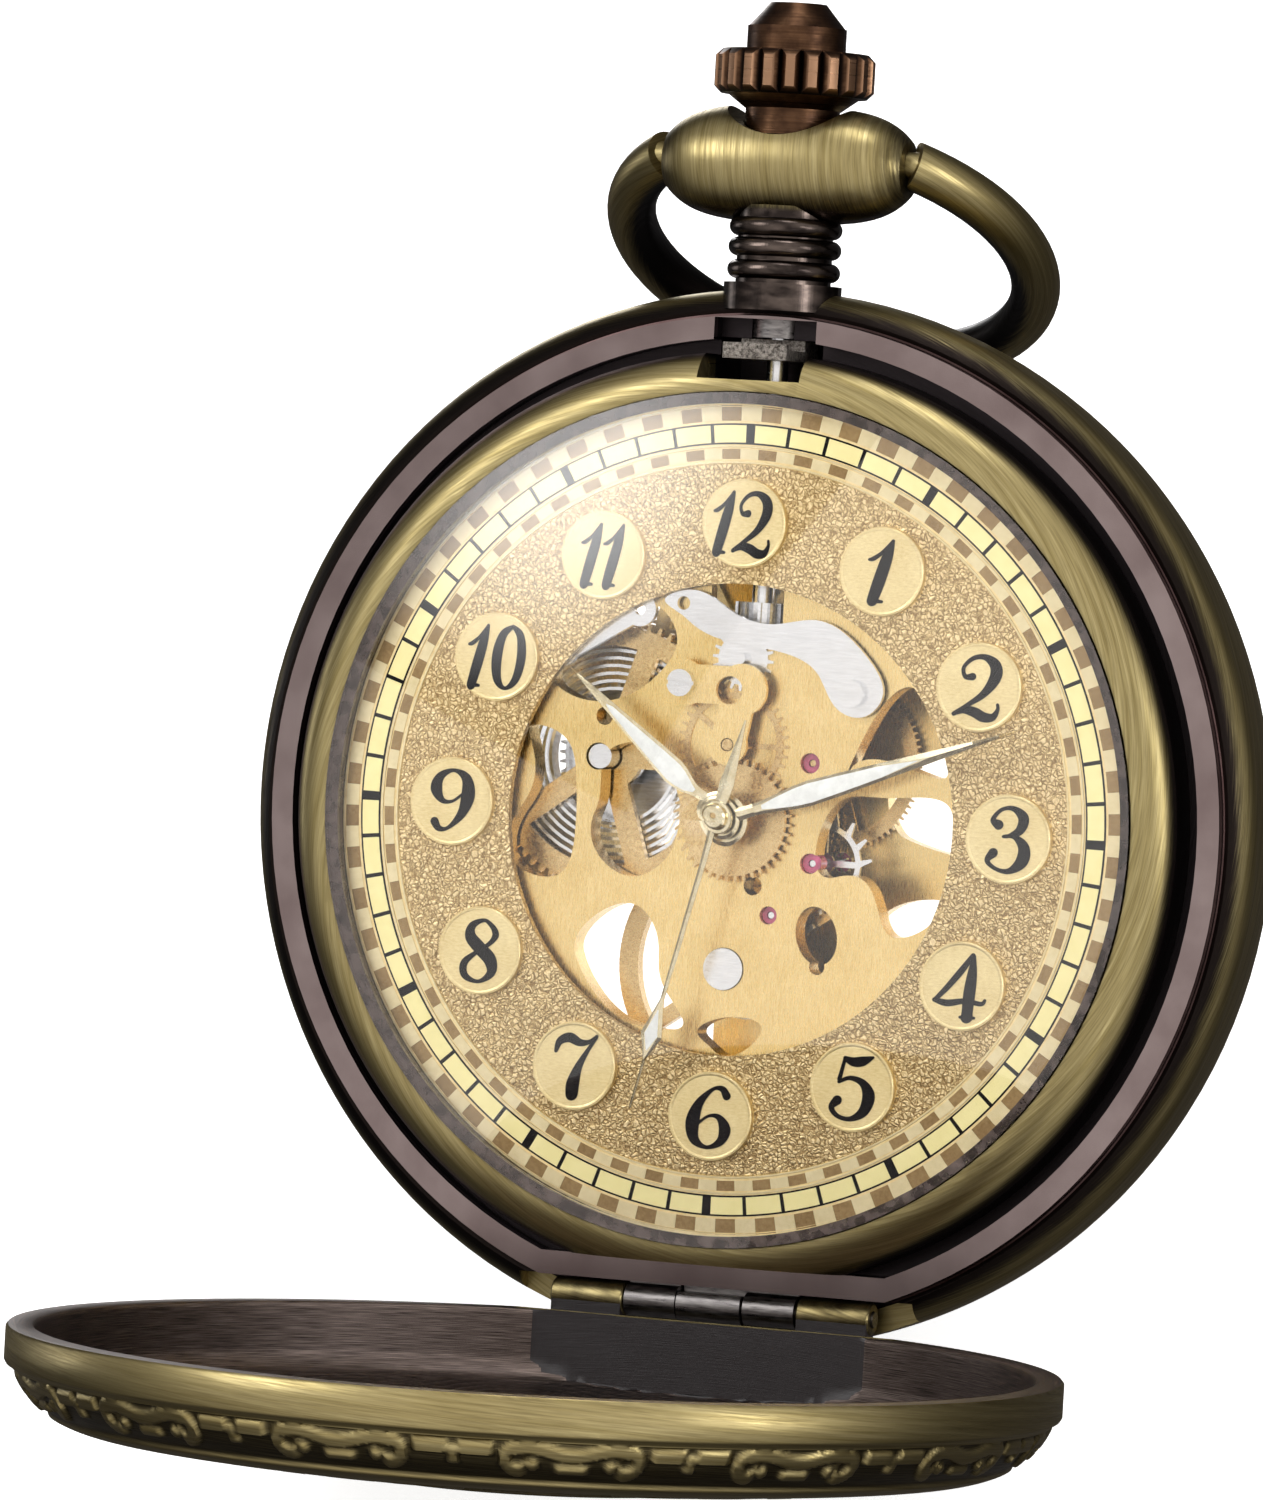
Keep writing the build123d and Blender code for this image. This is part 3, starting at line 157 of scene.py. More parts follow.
def sector(r0, r1, a0, a1, y0, y1, steps=3):
    """A flat block between two radii, two clock angles and two Y."""
    points, faces = [], []
    for i in range(steps + 1):
        a = a0 + (a1 - a0) * i / steps
        for r, y in ((r0, y0), (r1, y0), (r1, y1), (r0, y1)):
            points.append((r * sin(a), y, r * cos(a)))
    for i in range(steps):
        for j in range(4):
            k = (j + 1) % 4
            faces.append((4 * i + j, 4 * i + k, 4 * i + 4 + k, 4 * i + 4 + j))
    last = 4 * steps
    faces += [(0, 1, 2, 3), (last, last + 1, last + 2, last + 3)]
    return points, faces


def curve_points(controls, spans=8):
    """Catmull-Rom points through controls of any size."""
    ends = [controls[0]] + list(controls) + [controls[-1]]
    made = []
    for p0, p1, p2, p3 in zip(ends, ends[1:], ends[2:], ends[3:]):
        for i in range(spans):
            t = i / spans
            made.append(tuple(
                0.5 * (2 * b + (c - a) * t + (2 * a - 5 * b + 4 * c - d) * t * t
                       + (3 * b - a - 3 * c + d) * t ** 3)
                for a, b, c, d in zip(p0, p1, p2, p3)))
    return made + [tuple(controls[-1])]


def ribbon(controls, front, back, place):
    """A pen stroke through (u, v, width) controls, with round ends, as a thin solid."""
    line = curve_points(controls)
    ends = []
    for (u, v, w), (nu, nv, _) in ((line[0], line[1]), (line[-1], line[-2])):
        away = Vector((u - nu, v - nv)).normalized()
        ends.append([(u + away.x * w / 2 * t, v + away.y * w / 2 * t, w * sqrt(1 - t * t))
                     for t in (0.5, 0.85, 0.99)])
    line = ends[0][::-1] + line + ends[1]
    points, faces = [], []
    for i, (u, v, w) in enumerate(line):
        before, after = line[max(i - 1, 0)], line[min(i + 1, len(line) - 1)]
        along = Vector((after[0] - before[0], after[1] - before[1])).normalized()
        side = Vector((-along.y, along.x)) * w / 2
        for s, y in ((1, front), (-1, front), (-1, back), (1, back)):
            x, z = place(u + s * side.x, v + s * side.y)
            points.append((x, y, z))
    for i in range(len(line) - 1):
        for j in range(4):
            k = (j + 1) % 4
            faces.append((4 * i + j, 4 * i + k, 4 * i + 4 + k, 4 * i + 4 + j))
    last = len(points) - 4
    faces += [(0, 1, 2, 3), (last, last + 1, last + 2, last + 3)]
    return points, faces


def smooth(low, high, x):
    """A smooth step from 0 at low to 1 at high."""
    t = min(max((x - low) / (high - low), 0.0), 1.0)
    return t * t * (3 - 2 * t)


# ---- materials ----
class Paint:
    """A Principled material, built one node at a time, with coordinates in millimetres."""

    def __init__(self, name, place=CASE, **sockets):
        self.material = bpy.data.materials.new(name)
        self.material.use_nodes = True
        self.tree = self.material.node_tree
        self.shader = self.tree.nodes["Principled BSDF"]
        self.output = self.tree.nodes["Material Output"]
        self.set(**sockets)
        shift, turn, scale = place.inverted().decompose()
        self.mm = self.add("Mapping", {
            "Vector": self.add("TexCoord", {}, out="Object"), "Location": shift,
            "Rotation": turn.to_euler(), "Scale": scale})

    def put(self, socket, value):
        if isinstance(value, bpy.types.NodeSocket):
            self.tree.links.new(value, socket)
        elif socket.type == "RGBA" and len(value) == 3:
            socket.default_value = (*value, 1)
        else:
            socket.default_value = value

    def set(self, **sockets):
        for key, value in sockets.items():
            self.put(self.shader.inputs[key.replace("_", " ")], value)
        return self

    def add(self, kind, inputs, out=0, **attributes):
        node = self.tree.nodes.new("ShaderNode" + kind)
        for key, value in attributes.items():
            setattr(node, key, value)
        for key, value in inputs.items():
            self.put(node.inputs[key], value)
        return node.outputs[out]

    def math(self, operation, a, b=0.0, c=0.0):
        return self.add("Math", {0: a, 1: b, 2: c}, operation=operation)

    def axes(self, vector=None):
        node = self.tree.nodes.new("ShaderNodeSeparateXYZ")
        self.tree.links.new(vector or self.mm, node.inputs[0])
        return node.outputs

    def vector(self, x, y, z=0.0):
        return self.add("CombineXYZ", {0: x, 1: y, 2: z})

    def length(self, x, y):
        square = self.math("MULTIPLY", x, x)
        return self.math("SQRT", self.math("MULTIPLY_ADD", y, y, square))

    def noise(self, vector, scale, detail=3.0, rough=0.5):
        return self.add("TexNoise", {"Vector": vector, "Scale": scale, "Detail": detail,
                                     "Roughness": rough})

    def stretch(self, scale, vector=None, turn=(0, 0, 0)):
        return self.add("Mapping", {"Vector": vector or self.mm, "Scale": scale,
                                    "Rotation": turn})

    def step(self, value, low, high, to_low=0.0, to_high=1.0):
        return self.add("MapRange", {"Value": value, "From Min": low, "From Max": high,
                                     "To Min": to_low, "To Max": to_high},
                        interpolation_type="SMOOTHSTEP")

    def mix(self, factor, a, b):
        return self.add("Mix", {0: factor, 6: a, 7: b}, out=2, data_type="RGBA")

    def ramp(self, factor, *stops):
        node = self.tree.nodes.new("ShaderNodeValToRGB")
        self.tree.links.new(factor, node.inputs[0])
        marks = node.color_ramp.elements
        while len(marks) < len(stops):
            marks.new(0.5)
        for mark, (at, colour) in zip(marks, stops):
            mark.position = at
            mark.color = (*colour, 1)
        return node.outputs[0]

    def bump(self, height, depth, strength=1.0):
        """Sets the normal from a height of 0 to 1 that stands for a depth in millimetres."""
        self.set(Normal=self.add("Bump", {"Height": height, "Distance": depth * MM,
                                          "Strength": strength}, out="Normal"))
        return self


def brushed(paint, arc, across, slant=0.3):
    """Fine brush marks: long along arc, fine across, 0 to 1."""
    skewed = paint.math("MULTIPLY_ADD", arc, slant, across)
    fine = paint.noise(paint.vector(paint.math("MULTIPLY", arc, 0.45),
                                    paint.math("MULTIPLY", skewed, 13.0)), 1.0, 4.0, 0.6)
    coarse = paint.noise(paint.vector(paint.math("MULTIPLY", arc, 0.12),
                                      paint.math("MULTIPLY", skewed, 4.0)), 1.0, 3.0, 0.6)
    return fine, coarse


BRUSHED_ROUGH = (0.27, 0.46)
OLIVE = (0.27, 0.212, 0.085)
OLIVE_LIGHT = (0.46, 0.38, 0.185)
OLIVE_DARK = (0.075, 0.052, 0.026)
# Near black, used both for patina in hollows and for painted shade.
PATINA_AND_SHADE_BLACK = (0.012, 0.009, 0.008)
MAUVE = (0.27, 0.212, 0.206)


def antique(paint, arc, across, patina_and_shade, slant=0.16):
    """Brushed antique brass. Its mask runs from 0, worn bright, to 1, blackened: patina on the cover and hinge,
    painted shade on the case, pendant and bow.
    """
    fine, coarse = brushed(paint, arc, across, slant)
    worn = paint.ramp(coarse, (0.3, OLIVE), (0.7, OLIVE_LIGHT))
    worn = paint.mix(paint.step(fine, 0.35, 0.7, 0.0, 0.35), worn, OLIVE_DARK)
    ragged = paint.math("MULTIPLY_ADD", fine, 0.5, paint.math("SUBTRACT", patina_and_shade, 0.25))
    colour = paint.mix(paint.step(ragged, 0.15, 0.95), worn, PATINA_AND_SHADE_BLACK)
    paint.set(Base_Color=colour, Metallic=1.0, Roughness=paint.step(fine, 0.2, 0.8, *BRUSHED_ROUGH))
    return fine


def case_brass(name):
    """The band and bezel: brushed rims with painted shade at their edges, a mauve polished land and a groove
    painted black as shade.
    """
    paint = Paint(name)
    x, y, z = paint.axes()
    radius = paint.length(x, z)
    arc = paint.math("MULTIPLY", paint.math("ARCTAN2", x, z), 22.0)
    across = paint.math("ADD", radius, y)
    # Painted shade: the band darkens at its front step and towards its back, the bezel at its outer and inner
    # edges.
    front = paint.step(y, 1.2, 2.3, 1.0, 0.0)
    rear = paint.step(y, 6.2, 8.8, 0.0, 0.75)
    edge = paint.math("MAXIMUM", paint.step(radius, 20.1, 20.7, 0.0, 1.0),
                      paint.step(radius, 18.6, 19.2, 0.9, 0.0))
    on_band = paint.math("GREATER_THAN", radius, LAND_R[1])
    patina_and_shade = paint.add("Mix", {0: on_band, 2: edge, 3: paint.math("MAXIMUM", front, rear)})
    fine = antique(paint, arc, across, patina_and_shade)
    # This is antique's brass colour, its painted shade included.
    worn = paint.shader.inputs["Base Color"].links[0].from_socket
    haze = paint.noise(paint.stretch((0.35, 0.35, 0.35)), 1.0, 4.0)
    polish = paint.ramp(haze, (0.3, (0.19, 0.142, 0.138)), (0.7, MAUVE))
    outer = paint.math("MAXIMUM", paint.math("GREATER_THAN", radius, LAND_R[0]),
                       paint.math("LESS_THAN", z, LAND_STRIP_Z))
    land = paint.math("MULTIPLY", outer, paint.math("LESS_THAN", radius, LAND_R[1]))
    land = paint.math("MULTIPLY", land, paint.math("LESS_THAN", y, 1.4))
    # Painted shade: the groove behind the land goes near black.
    groove_shade = paint.math("MULTIPLY", paint.math("GREATER_THAN", y, 1.3),
                        paint.math("LESS_THAN", radius, GROOVE_R))
    colour = paint.mix(land, worn, polish)
    colour = paint.mix(groove_shade, colour, (0.022, 0.018, 0.019))
    rough = paint.add("Mix", {0: land, 2: paint.step(fine, 0.2, 0.8, *BRUSHED_ROUGH), 3: 0.2})
    paint.set(Base_Color=colour, Roughness=rough)
    marks = paint.math("MULTIPLY", fine, paint.math("SUBTRACT", 1.0, land))
    return paint.bump(marks, 0.012, 0.55).material


def ball_brass(name):
    """The pendant: brushed round the bow's pivot line, with painted shade below its middle and at its ends, above
    a dark polished neck.
    """
    paint = Paint(name)
    x, y, z = paint.axes()
    up = paint.math("SUBTRACT", z, BALL_Z)
    out = paint.math("SUBTRACT", y, STEM_Y)
    arc = paint.math("MULTIPLY", paint.math("ARCTAN2", out, up), 2.6)
    # Painted shade: darker below the ball's middle and towards its ends, where the bow's ends sit.
    low = paint.step(up, -2.5, -0.6, 0.9, 0.0)
    ends = paint.step(paint.math("ABSOLUTE", x), 3.7, 5.6, 0.0, 0.6)
    patina_and_shade = paint.math("MAXIMUM", low, ends)
    fine = antique(paint, arc, x, patina_and_shade, 0.08)
    # This is antique's brass colour, its painted shade included.
    worn = paint.shader.inputs["Base Color"].links[0].from_socket
    neck = paint.step(z, NECK_TOP_Z, NECK_TOP_Z + 0.25, 1.0, 0.0)
    tint = paint.ramp(paint.noise(paint.stretch((0.8, 0.8, 2.0)), 1.0),
                      (0.35, (0.026, 0.02, 0.018)), (0.7, (0.12, 0.093, 0.08)))
    rough = paint.add("Mix", {0: neck, 2: paint.step(fine, 0.2, 0.8, *BRUSHED_ROUGH), 3: 0.22})
    paint.set(Base_Color=paint.mix(neck, worn, tint), Roughness=rough)
    return paint.bump(fine, 0.01, 0.5).material


def bow_brass(name):
    """The bow: brushed along its rod, with painted shade darkening the inside of the ring."""
    place = (CASE @ Matrix.Translation((0, STEM_Y, BOW_PIVOT_Z))
             @ Matrix.Rotation(BOW_TILT, 4, "X") @ Matrix.Translation((0, 0, -BOW_REACH)))
    paint = Paint(name, place)
    x, y, z = paint.axes()
    radius = paint.length(x, z)
    arc = paint.math("MULTIPLY", paint.math("ARCTAN2", x, z), 9.3)
    # Painted shade: darker on the inside of the ring.
    patina_and_shade = paint.step(radius, 8.6, 9.8, 1.0, 0.0)
    fine = antique(paint, arc, paint.math("ADD", radius, y), patina_and_shade)
    return paint.bump(fine, 0.01, 0.5).material


def cover_brass(name):
    """The cover: olive brass rubbed bright on the raised work and black in its ground."""
    paint = Paint(name, COVER)
    x, y, z = paint.axes()
    radius = paint.length(x, z)
    arc = paint.math("MULTIPLY", paint.math("ARCTAN2", x, z), 22.0)
    relief = paint.add("Attribute", {}, out="Fac", attribute_name="relief")
    ground = paint.math("MULTIPLY_ADD", relief, -0.7, 0.7)
    fine = antique(paint, arc, paint.math("ADD", radius, y), ground, 0.06)
    return paint.bump(fine, 0.012, 0.45).material


def cover_dark(name):
    """Inside the cover: dark bronze with turned lines and a little worn metal on the ridges."""
    paint = Paint(name, COVER)
    x, y, z = paint.axes()
    radius = paint.length(x, z)
    arc = paint.math("MULTIPLY", paint.math("ARCTAN2", x, z), 22.0)
    fine, coarse = brushed(paint, arc, paint.math("ADD", radius, paint.math("MULTIPLY", y, 3.0)),
                           0.0)
    relief = paint.add("Attribute", {}, out="Fac", attribute_name="relief")
    dark = paint.ramp(coarse, (0.3, (0.013, 0.01, 0.01)), (0.75, (0.042, 0.031, 0.03)))
    worn = paint.mix(paint.math("MULTIPLY", relief, paint.step(fine, 0.3, 0.8)), dark,
                     (0.3, 0.235, 0.205))
    panel = paint.math("LESS_THAN", z, LID_CHORD_Z + LID_CHORD_WALL + 0.05)
    shade = paint.ramp(coarse, (0.2, (0.012, 0.008, 0.0085)), (0.8, (0.015, 0.0105, 0.0115)))
    paint.set(Base_Color=paint.mix(panel, worn, shade),
              Metallic=paint.math("SUBTRACT", 1.0, panel),
              Roughness=paint.step(fine, 0.2, 0.8, 0.28, 0.5))
    return paint.bump(fine, 0.02, 0.6).material


def copper(name):
    """The crown: dark copper, painted near black in the flutes as shade, worn on its edges."""
    paint = Paint(name)
    x, y, z = paint.axes()
    radius = paint.length(x, paint.math("SUBTRACT", y, STEM_Y))
    turned = paint.noise(paint.vector(paint.math("MULTIPLY", radius, 4.0),
                                      paint.math("MULTIPLY", z, 9.0)), 1.0, 4.0)
    cloud = paint.noise(paint.stretch((1.2, 1.2, 1.2)), 1.0, 4.0)
    body = paint.ramp(cloud, (0.3, (0.035, 0.018, 0.011)), (0.62, (0.11, 0.056, 0.03)),
                      (0.85, (0.24, 0.13, 0.07)))
    body = paint.mix(paint.step(turned, 0.35, 0.75, 0.0, 0.5), body, (0.03, 0.014, 0.008))
    knurl = paint.math("MULTIPLY", paint.math("GREATER_THAN", z, KNURL_Z[0]),
                       paint.math("LESS_THAN", z, KNURL_Z[1]))
    # Painted shade: the flutes of the knurl go near black.
    flute_shade = paint.math("MULTIPLY", knurl, paint.step(radius, 3.28, 3.42, 1.0, 0.0))
    worn = paint.math("MULTIPLY", knurl, paint.step(radius, 3.42, 3.54))
    body = paint.mix(worn, body, (0.3, 0.17, 0.1))
    paint.set(Base_Color=paint.mix(flute_shade, body, (0.008, 0.005, 0.004)), Metallic=1.0,
              Roughness=paint.step(turned, 0.2, 0.8, 0.25, 0.45))
    return paint.bump(turned, 0.012, 0.5).material


def dark_bronze(name, tint=(0.13, 0.1, 0.09), rough=(0.2, 0.36)):
    """Blackened polished bronze."""
    paint = Paint(name)
    cloud = paint.noise(paint.stretch((1.5, 1.5, 1.5)), 1.0, 5.0)
    low = tuple(0.3 * t for t in tint)
    paint.set(Base_Color=paint.ramp(cloud, (0.3, low), (0.7, tint)), Metallic=1.0,
              Roughness=paint.step(cloud, 0.3, 0.7, *rough))
    return paint.bump(paint.noise(paint.mm, 9.0, 4.0), 0.006, 0.4).material


def knuckle_brass(name):
    """The cover's hinge barrels: rubbed olive brass, turned along the pin."""
    paint = Paint(name, COVER)
    x, y, z = paint.axes()
    fine = antique(paint, x, paint.math("ADD", y, z), paint.noise(paint.mm, 0.9, 4.0))
    return paint.bump(fine, 0.012, 0.6).material


def grained(name):
    """The catch: cast, coarse-grained grey bronze."""
    paint = Paint(name)
    grain = paint.noise(paint.mm, 7.0, 5.0, 0.7)
    paint.set(Base_Color=paint.ramp(grain, (0.35, (0.05, 0.042, 0.036)), (0.6, (0.42, 0.38, 0.34))),
              Metallic=1.0, Roughness=0.38)
    return paint.bump(grain, 0.12, 1.0).material


def steel(name, low, high, rough=0.22):
    """Bright steel with straight grain."""
    paint = Paint(name)
    grain = paint.noise(paint.stretch((1.2, 6.0, 10.0), turn=(0, radians(25), 0)), 1.0, 4.0)
    paint.set(Base_Color=paint.ramp(grain, (0.3, low), (0.7, high)), Metallic=1.0,
              Roughness=paint.step(grain, 0.2, 0.8, rough, rough + 0.12))
    return paint.bump(grain, 0.006, 0.35).material


def gold(name, low, high, grain_scale, rough=0.28, depth=0.006):
    """Gilt metal with straight grain along Z."""
    paint = Paint(name)
    grain = paint.noise(paint.stretch(grain_scale), 1.0, 4.0, 0.6)
    cloud = paint.noise(paint.stretch((0.5, 0.5, 0.5)), 1.0, 2.0)
    tone = paint.math("MULTIPLY_ADD", grain, 0.65, paint.math("MULTIPLY", cloud, 0.35))
    paint.set(Base_Color=paint.ramp(tone, (0.3, low), (0.7, high)), Metallic=1.0,
              Roughness=paint.step(grain, 0.2, 0.8, rough, rough + 0.14))
    return paint.bump(grain, depth, 0.5).material


def dial_gold(name):
    """The dial: a hammered grain field inside a smooth gilt border."""
    paint = Paint(name)
    x, _, z = paint.axes()
    radius = paint.length(x, z)
    bent = paint.add("VectorMath", {0: paint.mm, 1: paint.add("VectorMath", {
        0: paint.add("TexNoise", {"Vector": paint.mm, "Scale": 2.2, "Detail": 2.0}, out=1),
        "Scale": 0.45}, operation="SCALE")}, operation="ADD")
    cells = paint.add("TexVoronoi", {"Vector": bent, "Scale": 5.0}, out="Distance",
                      feature="DISTANCE_TO_EDGE")
    ridges = paint.step(cells, 0.0, 0.28)
    crumbs = paint.noise(bent, 6.5, 3.0, 0.6)
    grain = paint.math("MULTIPLY_ADD", crumbs, 0.7, paint.math("MULTIPLY", ridges, 0.3))
    field = paint.ramp(grain, (0.3, (0.3, 0.195, 0.085)), (0.5, (0.63, 0.465, 0.23)),
                       (0.72, (0.9, 0.72, 0.42)))
    border = paint.ramp(paint.noise(paint.mm, 3.0), (0.3, (0.8, 0.62, 0.3)),
                        (0.7, (0.92, 0.76, 0.43)))
    edge = paint.step(radius, 15.62, 15.7)
    paint.set(Base_Color=paint.mix(edge, field, border), Metallic=1.0,
              Roughness=paint.step(grain, 0.2, 0.8, 0.42, 0.3))
    height = paint.math("MULTIPLY", grain, paint.math("SUBTRACT", 1.0, edge))
    return paint.bump(height, 0.09, 0.8).material


def enamel(name, colour, rough=0.3, gloss=0.3):
    """Paint on metal, with the slight unevenness of a printed film."""
    paint = Paint(name)
    film = paint.noise(paint.mm, 2.5, 4.0)
    low = tuple(0.86 * c for c in colour)
    paint.set(Base_Color=paint.ramp(film, (0.35, low), (0.65, colour)), Coat_Weight=gloss,
              Specular_IOR_Level=gloss,
              Roughness=paint.step(film, 0.3, 0.7, rough, rough + 0.1))
    return paint.bump(film, 0.004, 0.3).material


def ruby(name):
    """Red synthetic jewel."""
    paint = Paint(name)
    cloud = paint.noise(paint.mm, 2.0, 3.0)
    paint.set(Base_Color=paint.ramp(cloud, (0.3, (0.3, 0.02, 0.09)), (0.7, (0.62, 0.08, 0.22))),
              Coat_Weight=1.0, Roughness=paint.step(cloud, 0.3, 0.7, 0.08, 0.16))
    return paint.material


def glass(name):
    """Clear glass that lets the lamps through to the dial, with a trace of dust."""
    paint = Paint(name, Transmission_Weight=1.0, IOR=1.45, Base_Color=(1, 1, 1))
    dust = paint.noise(paint.mm, 0.8, 5.0)
    paint.set(Roughness=paint.step(dust, 0.45, 0.8, 0.0, 0.012))
    light = paint.add("LightPath", {}, out="Is Shadow Ray")
    clear = paint.add("BsdfTransparent", {})
    mixed = paint.add("MixShader", {0: light, 1: paint.shader.outputs[0], 2: clear})
    paint.tree.links.new(mixed, paint.output.inputs["Surface"])
    return paint.material


PAINTS = {
    "antique_brass": case_brass("case_brass"),
    "dark_bronze": dark_bronze("dark_bronze"),
    "cover_bronze": cover_brass("cover_brass"),
    "crown_copper": copper("crown_copper"),
    "glass": glass("crystal_glass"),
    "dark_steel": steel("dark_steel", (0.12, 0.11, 0.11), (0.3, 0.28, 0.27), 0.25),
    "bright_steel": steel("bright_steel", (0.74, 0.74, 0.75), (0.84, 0.84, 0.85), 0.16),
    "gold_dial": dial_gold("dial_gold"),
    "gold_disc": gold("disc_gold", (0.7, 0.54, 0.25), (0.93, 0.79, 0.46), (4.0, 8.0, 12.0), 0.34,
                      0.012),
    "hand_gold": gold("hand_gold", (0.62, 0.52, 0.32), (0.8, 0.72, 0.52), (2.0, 2.0, 2.0), 0.16,
                      0.003),
    "gold_plate": gold("plate_gold", (0.74, 0.52, 0.2), (0.93, 0.71, 0.35), (26.0, 8.0, 2.2),
                       0.2),
    "gold_wheel": gold("wheel_gold", (0.5, 0.33, 0.14), (0.84, 0.62, 0.32), (6.0, 6.0, 6.0),
                       0.2),
    "ruby": ruby("ruby"),
    "black_ring": dark_bronze("black_ring", (0.12, 0.084, 0.046), (0.25, 0.4)),
}
NODE_PAINTS = {
    "pendant": ball_brass("ball_brass"), "bow": bow_brass("bow_brass"),
    "cover_catch": grained("catch_bronze"),
}
INK = enamel("black_enamel", (0.008, 0.007, 0.008), 0.3, 0.06)
WHITE = enamel("white_lume", (0.86, 0.87, 0.84), 0.4)
CREAM = gold("cell_gold", (0.9, 0.8, 0.38), (0.97, 0.88, 0.48), (2.0, 2.0, 2.0), 0.42)
PALE = gold("pale_square_gold", (0.72, 0.6, 0.34), (0.85, 0.74, 0.48), (3.0, 3.0, 3.0), 0.36)
BROWN = gold("brown_square_gold", (0.24, 0.15, 0.065), (0.42, 0.29, 0.14), (5.0, 5.0, 5.0), 0.36)
DARK_COVER = cover_dark("cover_inside")
KNUCKLE = knuckle_brass("knuckle_brass")

for part in frame["record"]["subparts"]:
    cad = nodes[part["node"]]
    cad.data.materials.clear()
    cad.data.materials.append(NODE_PAINTS.get(part["node"], PAINTS[part["material_slot"]]))


# ---- dial: tracks and numbers ----
def track_pieces():
    """The two rings of squares and the minute track, as thin raised work on the dial."""
    pitch = tau / SQUARES
    dark, pale = [], []
    for r0, r1 in (INNER_SQUARES, OUTER_SQUARES):
        for i in range(SQUARES):
            a = i * pitch
            group = dark if i % 2 else pale
            front = -0.012 if i % 2 else -0.04
            group.append(sector(r0, r1, a - pitch / 2, a + pitch / 2, front, 0.0, 2))
    piece("track_squares_dark", *join(dark), "case", "gold_dial", BROWN)
    piece("track_squares_pale", *join(pale), "case", "gold_dial", PALE)
    borders = []
    for r in (15.72, 16.42, 18.24):
        borders.append(spin([(r - 0.05, 0.0), (r - 0.03, -0.05), (r + 0.03, -0.05),
                             (r + 0.05, 0.0)], 240))
    piece("track_borders", *join(borders), "case", "gold_dial", PALE)
    base = [(MINUTE_TRACK[0], 0.0), (MINUTE_TRACK[0], -0.015), (MINUTE_TRACK[1], -0.015),
            (MINUTE_TRACK[1], 0.0)]
    piece("minute_track_lines", *spin(base, 240), "case", "black_ring", INK)
    cells = []
    for i in range(60):
        starts = CELL_BAR if i % 5 == 0 else CELL_LINE
        ends = CELL_BAR if i % 5 == 4 else CELL_LINE
        a0 = tau * i / 60 + starts / MINUTE_CELLS[0]
        a1 = tau * (i + 1) / 60 - ends / MINUTE_CELLS[0]
        cells.append(sector(*MINUTE_CELLS, a0, a1, -0.035, 0.0, 3))
    piece("minute_cells", *join(cells), "case", "gold_dial", CREAM)


